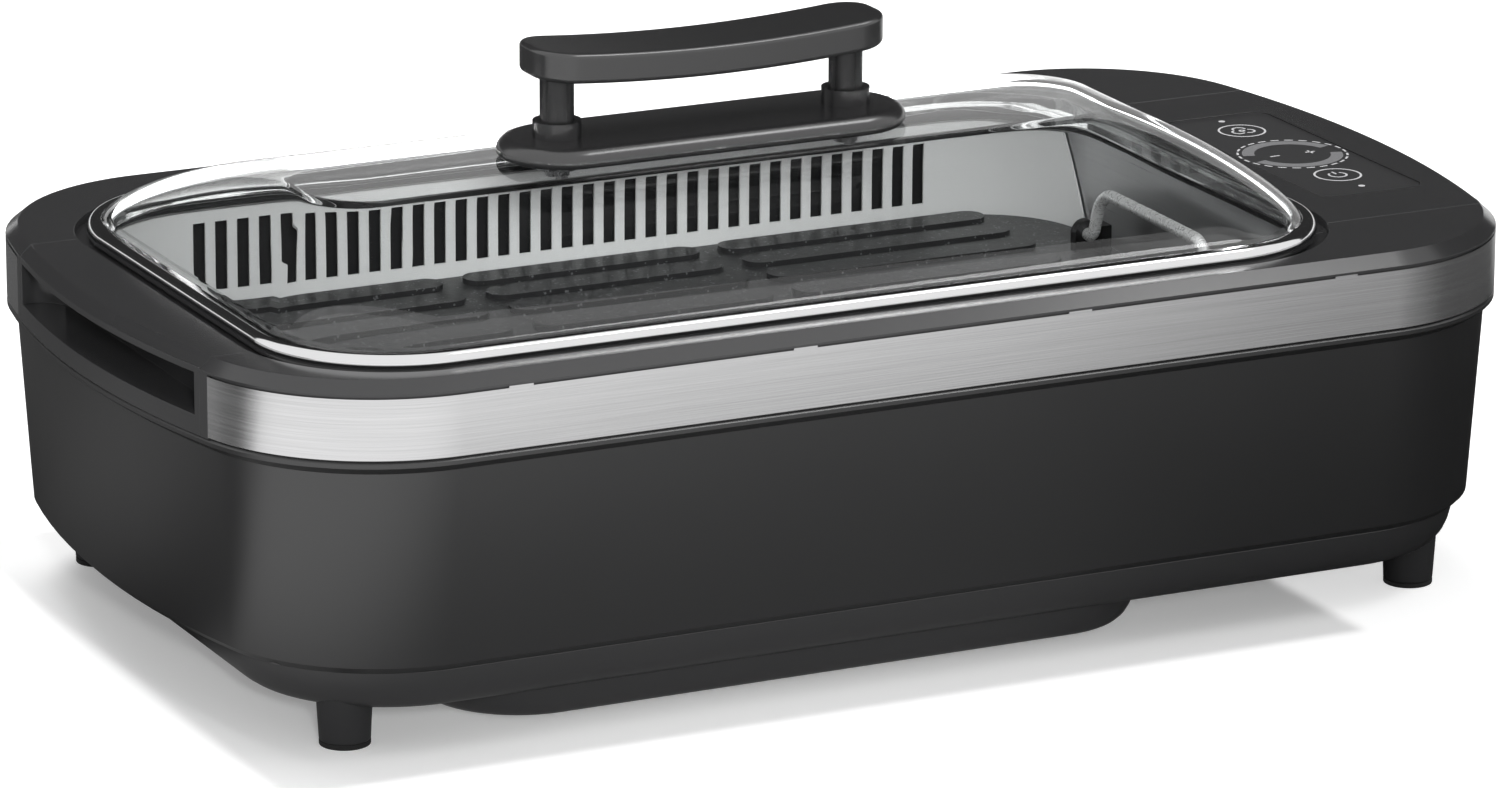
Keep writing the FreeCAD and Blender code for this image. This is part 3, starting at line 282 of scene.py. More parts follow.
@dataclass(frozen=True)
class MouldedPlastic(Finish):
    """Moulded plastic: a fine even grain, with faint cloudiness in its colour and gloss."""

    colour: Colour
    roughness: float = 0.5
    specular: float = 0.3
    grain: float = 1700.0
    depth: float = 0.00006
    cloud: float = 14.0
    spread: float = 0.07
    dulling: float = 0.03
    relief: float = 0.2

    def shader(self, shade: Shade) -> Value:
        """A Principled shader with a grain in its bump and clouds in its colour and roughness.

        Args:
            shade: The tree it is made in.

        Returns:
            The shader.
        """
        grain = shade.noise(self.grain, 3.0, roughness=0.6)
        cloud = shade.noise(self.cloud, 3.0)
        low, high = spread_of(self.colour, self.spread)
        return shade.principled({
            "Base Color": shade.tint(cloud * 0.6 + grain * 0.4, low, high),
            "Roughness": self.roughness - self.dulling + cloud * self.dulling + grain * self.dulling,
            "Specular IOR Level": self.specular,
            "Normal": shade.bump(grain, self.relief, self.depth),
        })


@dataclass(frozen=True)
class BrushedSteel(Finish):
    """Steel sheet with fine brushed lines that run one way."""

    colour: Colour
    roughness: float = 0.34
    brush: Brush = Brush.LEVEL
    contrast: float = 0.16
    metallic: float = 1.0
    fine: float = 2.2
    broad: float = 0.45
    dulling: float = 0.08
    relief: float = 0.22
    depth: float = 0.00012

    def shader(self, shade: Shade) -> Value:
        """A metal whose colour, roughness and bump follow two widths of stretched noise.

        Args:
            shade: The tree it is made in.

        Returns:
            The shader.
        """
        fine = shade.noise(self.fine, 3.0, self.brush.value, 0.65)
        broad = shade.noise(self.broad, 2.0, self.brush.value)
        line = fine * 0.7 + broad * 0.3
        low, high = spread_of(self.colour, self.contrast)
        return shade.principled({
            "Base Color": shade.tint(line, low, high),
            "Metallic": self.metallic,
            "Roughness": self.roughness - self.dulling + line * (2 * self.dulling),
            "Normal": shade.bump(line, self.relief, self.depth),
        })


@dataclass(frozen=True)
class PolishedMetal(Finish):
    """Polished or plated metal with faint rubbing marks."""

    colour: Colour
    roughness: float = 0.1
    cloud: float = 35.0
    scratch: float = 3.0
    rubbed: Point = (90.0, 900.0, 300.0)
    relief: float = 0.05
    depth: float = 0.00004

    def shader(self, shade: Shade) -> Value:
        """A metal whose roughness follows a soft cloud and a fine scratch noise.

        Args:
            shade: The tree it is made in.

        Returns:
            The shader.
        """
        cloud = shade.noise(self.cloud, 3.0)
        scratch = shade.noise(self.scratch, 2.0, self.rubbed, 0.7)
        return shade.principled({
            "Base Color": shade.tint(cloud, scaled(self.colour, 0.95), scaled(self.colour, 1.04)),
            "Metallic": 1.0,
            "Roughness": self.roughness - 0.03 + cloud * 0.05 + scratch * 0.04,
            "Normal": shade.bump(scratch, self.relief, self.depth),
        })


@dataclass(frozen=True)
class NonStick(Finish):
    """Dark non-stick coating: matt black with fine pale flecks and a slight orange-peel."""

    colour: Colour = (0.02, 0.02, 0.021)
    fleck: Colour = (0.13, 0.13, 0.135)
    roughness: float = 0.36
    cell: float = 620.0
    fleck_size: float = 0.3
    patch: float = 240.0
    wave: float = 420.0
    relief: float = 0.3
    depth: float = 0.00015

    def shader(self, shade: Shade) -> Value:
        """A dark shader with cells of pale flecks, and a soft waviness in its bump.

        Args:
            shade: The tree it is made in.

        Returns:
            The shader.
        """
        inputs = {"Vector": shade.place(), "Scale": self.cell}
        cells = shade.node("ShaderNodeTexVoronoi", {"feature": "F1"}, inputs)
        chosen = shade.noise(self.patch, 1.0).above(0.56)
        fleck = (self.fleck_size - cells).above(0.0) * chosen
        wave = shade.noise(self.wave, 2.0)
        return shade.principled({
            "Base Color": shade.tint(fleck, self.colour, self.fleck),
            "Roughness": self.roughness + wave * 0.12,
            "Specular IOR Level": 0.45,
            "Normal": shade.bump(wave, self.relief, self.depth),
        })


@dataclass(frozen=True)
class ClearGlass(Finish):
    """Clear tempered glass, which lets light through to what it covers."""

    colour: Colour = (0.87, 0.877, 0.875)
    index: float = 1.05
    sheen: float = 0.75
    sheen_index: float = 1.5
    shadow: Colour = (0.93, 0.945, 0.94)
    film: float = 9.0
    film_haze: float = 0.012

    def shader(self, shade: Shade) -> Value:
        """A clear Principled shader that is see-through for the light of the lamps.

        Args:
            shade: The tree it is made in.

        Returns:
            The shader.
        """
        film = shade.noise(self.film, 2.0)
        glass = shade.principled({
            "Base Color": (*self.colour, 1.0),
            "Roughness": film * self.film_haze,
            "Transmission Weight": 1.0,
            "IOR": self.index,
            "Coat Weight": self.sheen,
            "Coat Roughness": 0.0,
            "Coat IOR": self.sheen_index,
        })
        clear = shade.node("ShaderNodeBsdfTransparent", None, {"Color": (*self.shadow, 1.0)})
        shadow = shade.node("ShaderNodeLightPath", output="Is Shadow Ray")
        return shade.node("ShaderNodeMixShader", None, {0: shadow, 1: glass, 2: clear})


@dataclass(frozen=True)
class Speckled(Finish):
    """Ceramic, rubber and fibre: a dull body with darker grains and a rough surface."""

    colour: Colour
    roughness: float = 0.8
    grain: float = 900.0
    spread: float = 0.18
    relief: float = 0.4
    depth: float = 0.0001

    def shader(self, shade: Shade) -> Value:
        """A dull shader whose colour and bump follow one grain noise.

        Args:
            shade: The tree it is made in.

        Returns:
            The shader.
        """
        grain = shade.noise(self.grain, 4.0, roughness=0.65)
        low, high = spread_of(self.colour, self.spread)
        return shade.principled({
            "Base Color": shade.tint(grain, low, high),
            "Roughness": self.roughness - 0.06 + grain * 0.1,
            "Specular IOR Level": 0.25,
            "Normal": shade.bump(grain, self.relief, self.depth),
        })


@dataclass(frozen=True)
class CircuitBoard(Finish):
    """Green board with paler copper runs under its lacquer."""

    colour: Colour = (0.012, 0.1, 0.04)
    run: Colour = (0.04, 0.22, 0.09)
    pitch: float = 60.0
    run_width: float = 0.05
    patch: float = 55.0
    relief: float = 0.3
    depth: float = 0.00008

    def shader(self, shade: Shade) -> Value:
        """A lacquered shader with a grid of runs that a noise breaks up.

        Args:
            shade: The tree it is made in.

        Returns:
            The shader.
        """
        black, white = (0.0, 0.0, 0.0, 1.0), (1.0, 1.0, 1.0, 1.0)
        runs = shade.node("ShaderNodeTexBrick", {"offset": 0.5}, {
            "Vector": shade.place(), "Scale": self.pitch, "Mortar Size": self.run_width,
            "Color1": black, "Color2": black, "Mortar": white}, "Fac")
        kept = runs * shade.noise(self.patch, 1.0).above(0.48)
        return shade.principled({
            "Base Color": shade.tint(kept, self.colour, self.run),
            "Roughness": 0.3 + kept * 0.08,
            "Normal": shade.bump(kept, self.relief, self.depth),
        })


# One finish for each material slot, and darker, less glossy copies of the handle's plastic for its posts and
# collars, which paint shade on them.
FINISHES: dict[str, Finish] = {
    "body_plastic": MouldedPlastic((0.014, 0.014, 0.0145), 0.32, 0.95),
    "frame_plastic": MouldedPlastic((0.036, 0.036, 0.037), 0.16, 0.5, 1700.0, 0.00003),
    "bottom_plastic": MouldedPlastic((0.026, 0.026, 0.027), 0.34, 0.9, 1300.0),
    "foot_plastic": MouldedPlastic((0.026, 0.026, 0.027), 0.5, 0.3, 1300.0),
    "foot_rubber": Speckled((0.02, 0.02, 0.02), 0.85),
    "band_steel": BrushedSteel((0.68, 0.68, 0.685), 0.24, Brush.LEVEL, 0.3),
    "panel_face": MouldedPlastic((0.034, 0.034, 0.035), 0.3, 0.4, 2400.0, 0.00002),
    "circuit_board": CircuitBoard(),
    "liner_steel": BrushedSteel((0.52, 0.52, 0.525), 0.3, Brush.LEVEL, 0.14, 0.92),
    "guard_steel": BrushedSteel((0.92, 0.92, 0.925), 0.45, Brush.LEVEL, 0.06, 0.25),
    "tray_aluminium": BrushedSteel((0.58, 0.58, 0.59), 0.42, Brush.LENGTHWISE, 0.08),
    "plate_coating": NonStick(),
    "bail_wire": BrushedSteel((0.86, 0.86, 0.865), 0.28, Brush.LENGTHWISE, 0.05, 0.6),
    "lug_steel": BrushedSteel((0.07, 0.07, 0.072), 0.4, Brush.UPRIGHT, 0.1),
    "element_tube": Speckled((0.07, 0.067, 0.065), 0.55, 1500.0, 0.3),
    "ceramic": Speckled((0.72, 0.7, 0.64), 0.7, 700.0, 0.08),
    "duct_plastic": MouldedPlastic((0.018, 0.018, 0.019), 0.55, 0.3),
    "impeller_plastic": MouldedPlastic((0.06, 0.06, 0.065), 0.48, 0.35),
    "motor_can": BrushedSteel((0.52, 0.52, 0.525), 0.32, Brush.LENGTHWISE, 0.08),
    "bracket_steel": BrushedSteel((0.5, 0.5, 0.505), 0.4, Brush.UPRIGHT, 0.08),
    "inlet_plastic": MouldedPlastic((0.022, 0.022, 0.022), 0.5, 0.35, 1300.0),
    "contact_brass": PolishedMetal((0.62, 0.47, 0.2), 0.24),
    "clear_glass": ClearGlass(),
    "rim_steel": PolishedMetal((0.78, 0.78, 0.785), 0.08),
    "handle_plastic": MouldedPlastic((0.021, 0.021, 0.0215), 0.25, 0.95, 1700.0, 0.00004),
    "screw_steel": PolishedMetal((0.46, 0.46, 0.47), 0.26),
    # Painted shade: the posts and the collars are the handle's plastic, made darker and less glossy.
    "handle_posts": MouldedPlastic((0.012, 0.012, 0.0125), 0.24, 0.4, 1700.0, 0.00004),
    "handle_collars": MouldedPlastic((0.014, 0.014, 0.0145), 0.24, 0.55, 1700.0, 0.00004),
}
INK = MouldedPlastic((0.62, 0.62, 0.63), 0.5, 0.3, 3000.0, 0.00001, 60.0)
DIM_INK = MouldedPlastic((0.2, 0.2, 0.205), 0.5, 0.3, 3000.0, 0.00001, 60.0)


@dataclass
class Surface:
    """Points in millimetres and the faces that join them."""

    points: Array
    quads: Array
    caps: list[Array]


def rounded_rings(half_x: Array, half_y: Array, corner: Array, height: Array,
                  centre: Pair, per_corner: int, per_side: int) -> Array:
    """Stacks level rounded rectangles into one grid of points.

    Ring i is four quarter circles of radius corner[i] about the points (half_x[i] - corner[i],
    half_y[i] - corner[i]) of the four quarters, joined by straight sides that are cut into
    per_side + 1 equal runs. All of it lies at height[i].

    Args:
        half_x: Half lengths of the rings.
        half_y: Half widths of the rings.
        corner: Corner radii of the rings.
        height: Heights of the rings.
        centre: The middle of all the rings in plan.
        per_corner: Points on a quarter circle.
        per_side: Points between two quarter circles.

    Returns:
        An array of rings by points by three.
    """
    quarter = np.arange(4)
    signs = np.array([(1, 1), (-1, 1), (-1, -1), (1, -1)])
    turn = (quarter[:, None] + np.linspace(0, 1, per_corner)) * np.pi / 2
    reach = np.stack([half_x - corner, half_y - corner], -1)
    middle = reach[:, None, None, :] * signs[None, :, None, :]
    arc = middle + corner[:, None, None, None] * np.stack([np.cos(turn), np.sin(turn)], -1)
    share = np.linspace(0, 1, per_side + 2)[1:-1, None]
    leave = arc[:, :, -1:, :]
    meet = np.roll(arc[:, :, :1, :], -1, axis=1)
    side = leave + (meet - leave) * share
    plan = np.concatenate([arc, side], axis=2).reshape(len(half_x), -1, 2) + np.array(centre)
    level = np.broadcast_to(height[:, None, None], plan.shape[:2] + (1,))
    return np.concatenate([plan, level], axis=-1)


def inset_rings(half: Pair, corner: float, inset: Array, height: Array, centre: Pair,
                per_corner: int, per_side: int = 0) -> Array:
    """Carries a profile of insets and heights round one rounded rectangle.

    Ring i is the rectangle moved inwards by inset[i], its corner shrunk by as much, at height[i].

    Args:
        half: Half length and half width of the rectangle.
        corner: Its corner radius.
        inset: Insets of the profile's points.
        height: Heights of the profile's points.
        centre: Its middle in plan.
        per_corner: Points on a quarter circle.
        per_side: Points between two quarter circles.

    Returns:
        An array of rings by points by three.
    """
    half_x = half[0] - inset
    half_y = half[1] - inset
    radius = np.clip(corner - inset, 0.0, np.minimum(half_x, half_y))
    return rounded_rings(half_x, half_y, radius, height, centre, per_corner, per_side)


class Ends(Enum):
    """How a row of rings is closed."""

    JOINED = "the last ring joins the first"
    CAPPED = "a polygon covers each end"
    DRAWN_IN = "the end rings have no width, so that their two sides merge"


def loft(grid: Array, ends: Ends = Ends.CAPPED) -> Surface:
    """Joins a grid of closed rings into a closed surface.

    Face (i, j) joins the points (i, j), (i, j + 1), (i + 1, j + 1) and (i + 1, j).

    Args:
        grid: Rings by points by three.
        ends: How the first and the last ring are closed.

    Returns:
        The surface.
    """
    wrap_rows = ends is Ends.JOINED
    rows, columns = grid.shape[:2]
    index = np.arange(rows * columns).reshape(rows, columns)
    lower = index if wrap_rows else index[:-1]
    upper = np.roll(index, -1, axis=0) if wrap_rows else index[1:]
    quads = np.stack([lower, np.roll(lower, -1, 1), np.roll(upper, -1, 1), upper], -1).reshape(-1, 4)
    caps = [index[0, ::-1], index[-1]] if ends is Ends.CAPPED else []
    return Surface(grid.reshape(-1, 3), quads, caps)


def ribbon(path: Array, half_width: float, low: float, high: float, closed: bool) -> Surface:
    """Carries a flat rectangular section along a path in plan.

    The section at a point p with unit tangent t and level normal n = (-t.y, t.x) has its corners at
    p - w n and p + w n, at the low and the high level.

    Args:
        path: Points of the path in plan.
        half_width: Half the width w of the section.
        low: Its lower level.
        high: Its upper level.
        closed: Whether the path closes on itself.

    Returns:
        The surface.
    """
    if closed:
        tangent = np.roll(path, -1, axis=0) - np.roll(path, 1, axis=0)
    else:
        tangent = np.gradient(path, axis=0)
    tangent = tangent / np.linalg.norm(tangent, axis=1, keepdims=True)
    normal = np.stack([-tangent[:, 1], tangent[:, 0]], -1)
    offsets = np.array([-half_width, half_width, half_width, -half_width])
    levels = np.array([low, low, high, high])
    plan = path[:, None, :] + normal[:, None, :] * offsets[None, :, None]
    level = np.broadcast_to(levels[None, :, None], plan.shape[:2] + (1,))
    return loft(np.concatenate([plan, level], axis=-1), Ends.JOINED if closed else Ends.CAPPED)


def arc_path(centre: Pair, radius: float, start: float, end: float, count: int) -> Array:
    """Points on an arc: centre + radius (cos a, sin a) for angles a in degrees from start to end."""
    turn = np.radians(np.linspace(start, end, count))
    return np.array(centre) + radius * np.stack([np.cos(turn), np.sin(turn)], -1)


def put(name: str, surfaces: list[Surface], sharp: float = SHARP) -> bpy.types.Object:
    """Makes one mesh object of several closed surfaces.

    Args:
        name: The piece's name.
        surfaces: The surfaces, in millimetres.
        sharp: The angle in degrees past which an edge stays sharp.

    Returns:
        The new object, at the origin.
    """
    starts = np.cumsum([0] + [len(surface.points) for surface in surfaces])
    points = np.concatenate([surface.points for surface in surfaces]) * MM
    faces = []
    for start, surface in zip(starts, surfaces):
        faces += (surface.quads + start).tolist() + [(cap + start).tolist() for cap in surface.caps]
    mesh = bpy.data.meshes.new(name)
    mesh.from_pydata(points.tolist(), [], faces)
    return settle_mesh(name, mesh, sharp, True)


def link(name: str, data: bpy.types.ID) -> bpy.types.Object:
    """Makes an object of a mesh, a light or a camera and links it to the scene.

    Args:
        name: The object's name.
        data: What it shows.

    Returns:
        The new object, at the origin.
    """
    made = bpy.data.objects.new(name, data)
    bpy.context.scene.collection.objects.link(made)
    return made


def shade_sharp(mesh: bpy.types.Mesh, sharp: float) -> None:
    """Smooths a mesh, apart from edges past an angle in degrees."""
    mesh.shade_smooth()
    mesh.set_sharp_from_angle(angle=math.radians(sharp))


def settle_mesh(name: str, mesh: bpy.types.Mesh, sharp: float, turn_out: bool) -> bpy.types.Object:
    """Merges a mesh's doubles, smooths it and links it to the scene.

    Args:
        name: The object's name.
        mesh: The mesh.
        sharp: The angle in degrees past which an edge stays sharp.
        turn_out: Whether its faces are turned outwards.

    Returns:
        The new object.
    """
    merge = 0.000002
    work = bmesh.new()
    work.from_mesh(mesh)
    bmesh.ops.remove_doubles(work, verts=work.verts, dist=merge)
    bmesh.ops.dissolve_degenerate(work, edges=work.edges, dist=merge)
    if turn_out:
        bmesh.ops.recalc_face_normals(work, faces=work.faces)
    work.to_mesh(mesh)
    work.free()
    shade_sharp(mesh, sharp)
    return link(name, mesh)


def round_edges(piece: bpy.types.Object, width: float, angle: float = SHARP) -> None:
    """Rounds a piece's sharp edges with two faces each and evens its shading.

    Args:
        piece: The piece.
        width: The width of the rounding in millimetres.
        angle: Edges sharper than this many degrees are rounded.
    """
    bevel = piece.modifiers.new("edges", "BEVEL")
    bevel.width = width * MM
    bevel.segments = 2
    bevel.limit_method = "ANGLE"
    bevel.angle_limit = math.radians(angle)
    bevel.use_clamp_overlap = True
    even_shading(piece)


def even_shading(piece: bpy.types.Object) -> None:
    """Weights a piece's normals by the faces' areas and keeps its sharp edges.

    Args:
        piece: The piece.
    """
    even = piece.modifiers.new("even", "WEIGHTED_NORMAL")
    even.keep_sharp = True
    even.weight = 60


def dress(piece: bpy.types.Object, node: str, finish: Finish | None = None, name: str = "") -> None:
    """Gives a piece its finish and its body, and lets it stand for its node.

    A piece with a finish of its own, such as print, lies on its node and doesn't stand for it.

    Args:
        piece: The piece.
        node: The node that gives its body, its slot and, where none is named, its finish.
        finish: A finish that isn't the node's.
        name: The name of that finish.
    """
    slot = SLOT_OF[node]
    own = node if node in FINISHES else slot
    piece.data.materials.append((finish or FINISHES[own]).material(name or own))
    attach(piece, BODY_OF[node])
    if not finish:
        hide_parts(node)
    log.info("%s on %s: %d faces", piece.name, BODY_OF[node], len(piece.data.polygons))


def smoothed(node: str, edge: float = 0.0, sharp: float = 30.0) -> None:
    """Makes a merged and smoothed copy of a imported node, which then stands for it.

    Args:
        node: The node's name.
        edge: The width in millimetres to which its edges are rounded, or nought.
        sharp: The angle in degrees past which an edge stays sharp.
    """
    source = frame["nodes"][node].data
    points = np.empty(len(source.vertices) * 3)
    source.vertices.foreach_get("co", points)
    corners = np.empty(len(source.loops), np.int32)
    source.loops.foreach_get("vertex_index", corners)
    mesh = bpy.data.meshes.new(node + "_dressed")
    mesh.from_pydata(points.reshape(-1, 3).tolist(), [], corners.reshape(-1, 3).tolist())
    piece = settle_mesh(node + "_dressed", mesh, sharp, False)
    if edge:
        join_flats(mesh, sharp)
        round_edges(piece, edge, sharp)
    else:
        even_shading(piece)
    dress(piece, node)


def join_flats(mesh: bpy.types.Mesh, sharp: float) -> None:
    """Joins the triangles of flat faces into polygons, so that edges can be rounded.

    Args:
        mesh: The merged mesh.
        sharp: The angle in degrees past which an edge stays sharp.
    """
    flat = math.radians(0.2)
    work = bmesh.new()
    work.from_mesh(mesh)
    bmesh.ops.dissolve_limit(work, angle_limit=flat, verts=work.verts, edges=work.edges)
    work.to_mesh(mesh)
    work.free()
    shade_sharp(mesh, sharp)


@dataclass
class Body:
    """The lower body: shell, bottom cover, feet and the steel band in two halves."""

    edge: float = 0.4
    moulded: tuple[str, ...] = ("base_shell", "bottom_cover", "feet", "foot_pads")
    sheet: tuple[str, ...] = ("band_front", "band_rear")

    def build(self) -> None:
        """Dresses the body's nodes, and rounds the edges of the moulded ones."""
        for node in self.moulded:
            smoothed(node, self.edge)
        for node in self.sheet:
            smoothed(node)


@dataclass
class TopFrame:
    """The dark frame on top: two rails, two end covers and the screws that hold them."""

    edge: float = 0.55
    nodes: tuple[str, ...] = ("top_frame_front", "top_frame_rear", "left_end_cover", "right_end_cover",
                              "frame_screws")

    def build(self) -> None:
        """Dresses the frame's nodes."""
        for node in self.nodes:
            smoothed(node, self.edge)


@dataclass
class ControlPanel:
    """The flush touch panel with its printed marks, and the board under it."""

    middle_x: float = 219.3
    lamp_y: Pair = (44.1, -60.7)
    lamp_radius: float = 1.3
    fan_y: float = 28.6
    fan_ring: float = 8.75
    power_y: float = -43.2
    power_ring: float = 8.6
    dial_y: float = -9.7
    dial_ring: float = 20.5
    dial_arc: float = 16.6
    line: float = 0.4
    bold: float = 2.3
    below: float = 0.03
    above: float = 0.06
    edge: float = 0.3
    ring_steps: int = 64
    arc_steps: int = 28
    blade_steps: int = 20

    def level(self) -> Pair:
        """The lower and upper level of the print on the panel's face."""
        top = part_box("touch_panel")[1].z / MM
        return top - self.below, top + self.above

    def mark(self, path: Array, half_width: float, closed: bool = False) -> Surface:
        """A printed line along a path in plan."""
        return ribbon(path, half_width, *self.level(), closed)

    def ring(self, y: float, radius: float, half_width: float) -> Surface:
        """A printed ring about a point of the panel's middle line.

        Args:
            y: Where the point is on that line.
            radius: The ring's radius.
            half_width: Half the width of its line.

        Returns:
            The ring.
        """
        last = 360.0 - 360.0 / self.ring_steps
        path = arc_path((self.middle_x, y), radius, 0.0, last, self.ring_steps)
        return self.mark(path, half_width, True)

    def arc(self, y: float, radius: float, start: float, end: float, half_width: float) -> Surface:
        """A printed arc about a point of the panel's middle line, between two angles."""
        path = arc_path((self.middle_x, y), radius, start, end, self.arc_steps)
        return self.mark(path, half_width)

    def stroke(self, start: Pair, end: Pair, half_width: float) -> Surface:
        """A printed straight line between two points, given from the panel's middle line."""
        path = np.linspace(start, end, 3) + np.array((self.middle_x, 0.0))
        return self.mark(path, half_width)

    def fan_marks(self) -> list[Surface]:
        """A three-bladed fan in its ring: each blade is an arc off the middle.

        Returns:
            The lines of the sign.
        """
        blade, hub, sweep = 2.4, 0.9, 200.0
        marks = [self.ring(self.fan_y, radius, self.line) for radius in (self.fan_ring, hub)]
        for degrees in (90.0, 210.0, 330.0):
            turn = math.radians(degrees)
            centre = (self.middle_x + blade * math.cos(turn), self.fan_y + blade * math.sin(turn))
            start = degrees - sweep / 2
            path = arc_path(centre, blade, start, start + sweep, self.blade_steps)
            marks.append(self.mark(path, self.line))
        return marks

    def power_marks(self) -> list[Surface]:
        """A ring, and in it an open circle with an upright line.

        Returns:
            The lines of the sign.
        """
        radius, gap, foot, tip = 3.3, 38.0, 1.2, 4.4
        inner = self.arc(self.power_y, radius, 90.0 + gap, 450.0 - gap, self.line)
        line = self.stroke((0.0, self.power_y + foot), (0.0, self.power_y + tip), self.line)
        return [self.ring(self.power_y, self.power_ring, self.line), inner, line]

    def dial_marks(self) -> list[Surface]:
        """The dial's outer ring of short dashes, and a minus and a plus inside.

        Returns:
            The lines of the dial.
        """
        dash, pitch, reach, sign, y = 9.0, 15.0, 7.5, 2.0, self.dial_y
        marks = [self.arc(y, self.dial_ring, turn, turn + dash, self.line)
                 for turn in np.arange(0.0, 360.0, pitch)]
        marks.append(self.stroke((-reach - sign, y), (-reach + sign, y), self.line))
        marks.append(self.stroke((reach - sign, y), (reach + sign, y), self.line))
        marks.append(self.stroke((reach, y - sign), (reach, y + sign), self.line))
        return marks

    def lamps(self) -> list[Surface]:
        """The two small lamp dots."""
        half = self.lamp_radius / 2
        return [self.ring(y, half, half * 0.96) for y in self.lamp_y]

    def build(self) -> None:
        """Dresses the panel and lays the print on it."""
        smoothed("touch_panel", self.edge)
        smoothed("control_board")
        bright = put("panel_print", self.fan_marks() + self.power_marks() + self.dial_marks() + self.lamps())
        dress(bright, "touch_panel", INK, "panel_ink")
        sweep = 150.0
        arcs = [self.arc(self.dial_y, self.dial_arc, start, start + sweep, self.bold)
                for start in (15.0, 195.0)]
        dress(put("dial_print", arcs), "touch_panel", DIM_INK, "panel_dim_ink")


@dataclass
class Well:
    """The cooking well: liner, slotted guard, drip tray, heater socket and probe."""

    nodes: tuple[str, ...] = ("well_liner", "rear_vent_guard", "drip_tray", "heater_socket",
                              "temperature_probe")

    def build(self) -> None:
        """Dresses the well's nodes."""
        for node in self.nodes:
            smoothed(node)


@dataclass
class GrillPlate:
    """The cooking plate with rounded bars, its bails and the element under it."""

    bar_edge: float = 0.8
    nodes: tuple[str, ...] = ("bail_lugs", "left_bail", "right_bail", "heating_element", "element_clamps",
                              "element_terminal")

    def build(self) -> None:
        """Dresses the plate's nodes, and rounds the edges of its bars."""
        smoothed("grill_plate", self.bar_edge)
        for node in self.nodes:
            smoothed(node)


@dataclass
class Works:
    """What the body hides: the blower, its duct and the electrics."""

    nodes: tuple[str, ...] = ("air_duct", "blower_housing", "impeller", "motor_shaft", "fan_motor",
                              "blower_bracket", "exhaust_grille", "power_inlet", "inlet_pins", "power_board",
                              "cover_screws", "board_screws", "motor_screws")

    def build(self) -> None:
        """Dresses the works' nodes."""
        for node in self.nodes:
            smoothed(node)


@dataclass
class Lid:
    """The lid: a polished rim with a clear dome in it."""

    centre: Pair = LID_CENTRE
    half: Pair = (205.05, 124.6)
    corner: float = 52.5
    rim_low: float = 133.1
    rim_high: float = 140.5
    rim_bulge: float = 2.6
    rim_inner: float = 5.5
    rim_edge: float = 0.35
    rim_steps: int = 15
    shelf_inner: float = 8.5
    shelf_top: float = 134.7
    glass_gap: float = 0.2
    glass_wall: float = 4.0
    skirt_foot: float = 134.75
    skirt_top: float = 140.5
    rise: float = 28.4
    shoulder_end: float = 42.0
    shoulder_side: float = 91.5
    crown_corner: float = 20.0
    power: float = 1.5
    foot_ring: float = 0.4
    dome_steps: int = 41
    dome_sharp: float = 50.0
    per_corner: int = 28
    per_side: int = 6

    def rim(self) -> Surface:
        """The rim: its outer face is half an ellipse, inset b (1 - cos a) at middle + h sin a.

        Returns:
            The rim's surface.
        """
        turn = np.radians(np.linspace(-90.0, 90.0, self.rim_steps))
        middle = (self.rim_low + self.rim_high) / 2
        tall = (self.rim_high - self.rim_low) / 2
        inset = self.rim_bulge * (1 - np.cos(turn))
        height = middle + tall * np.sin(turn)
        inner = np.array([(self.rim_inner, self.rim_high), (self.rim_inner, self.shelf_top),
                          (self.shelf_inner, self.shelf_top), (self.shelf_inner, self.rim_low)])
        inset = np.concatenate([inset, inner[:, 0]])
        height = np.concatenate([height, inner[:, 1]])
        rings = inset_rings(self.half, self.corner, inset, height, self.centre, self.per_corner)
        return loft(rings, Ends.JOINED)

    def dome_face(self) -> Array:
        """The dome's outer face, from its foot to its crown.

        Over the skirt the outline stays. Above it, for t from nought to a quarter turn, the share
        s = 1 - cos(t)^p moves the outline in by s times the shoulders and turns its corner into the
        crown's, while the height is the skirt's top plus the rise times sin(t)^p.

        Returns:
            The face's rings.
        """
        turn = np.linspace(0.0, np.pi / 2, self.dome_steps)
        share = np.concatenate([[0.0, 0.0], 1 - np.maximum(np.cos(turn), 0.0) ** self.power])
        lift = np.concatenate([[0.0, 0.0], np.sin(turn) ** self.power])
        inset = self.rim_inner + self.glass_gap
        start = self.corner - inset
        half_x = self.half[0] - inset - self.shoulder_end * share
        half_y = self.half[1] - inset - self.shoulder_side * share
        corner = start + (self.crown_corner - start) * share
        height = self.skirt_top + self.rise * lift
        height[0] = self.skirt_foot
        height[1] = self.skirt_foot + self.foot_ring
        return rounded_rings(half_x, half_y, corner, height, self.centre, self.per_corner, self.per_side)

    def dome(self) -> Surface:
        """The dome as a closed shell of one thickness: the inner face turned over, then the outer.

        A point p of the outer face has its inner point at p - w n, where n is the unit cross product
        of the grid's two tangents. The foot of the inner face is brought back to the foot's height.

        Returns:
            The dome's surface.
        """
        outer = self.dome_face()
        around = np.roll(outer, -1, axis=1) - np.roll(outer, 1, axis=1)
        upward = np.gradient(outer, axis=0)
        normal = np.cross(around, upward)
        normal = normal / np.linalg.norm(normal, axis=2, keepdims=True)
        inner = outer - self.glass_wall * normal
        inner[:2, :, 2] = outer[:2, :, 2]
        return loft(np.concatenate([inner[::-1], outer]))

    def build(self) -> None:
        """Makes the rim and the dome."""
        rim = put("lid_rim_band", [self.rim()])
        round_edges(rim, self.rim_edge)
        dress(rim, "lid_rim")
        dress(put("lid_dome", [self.dome()], self.dome_sharp), "lid_glass")


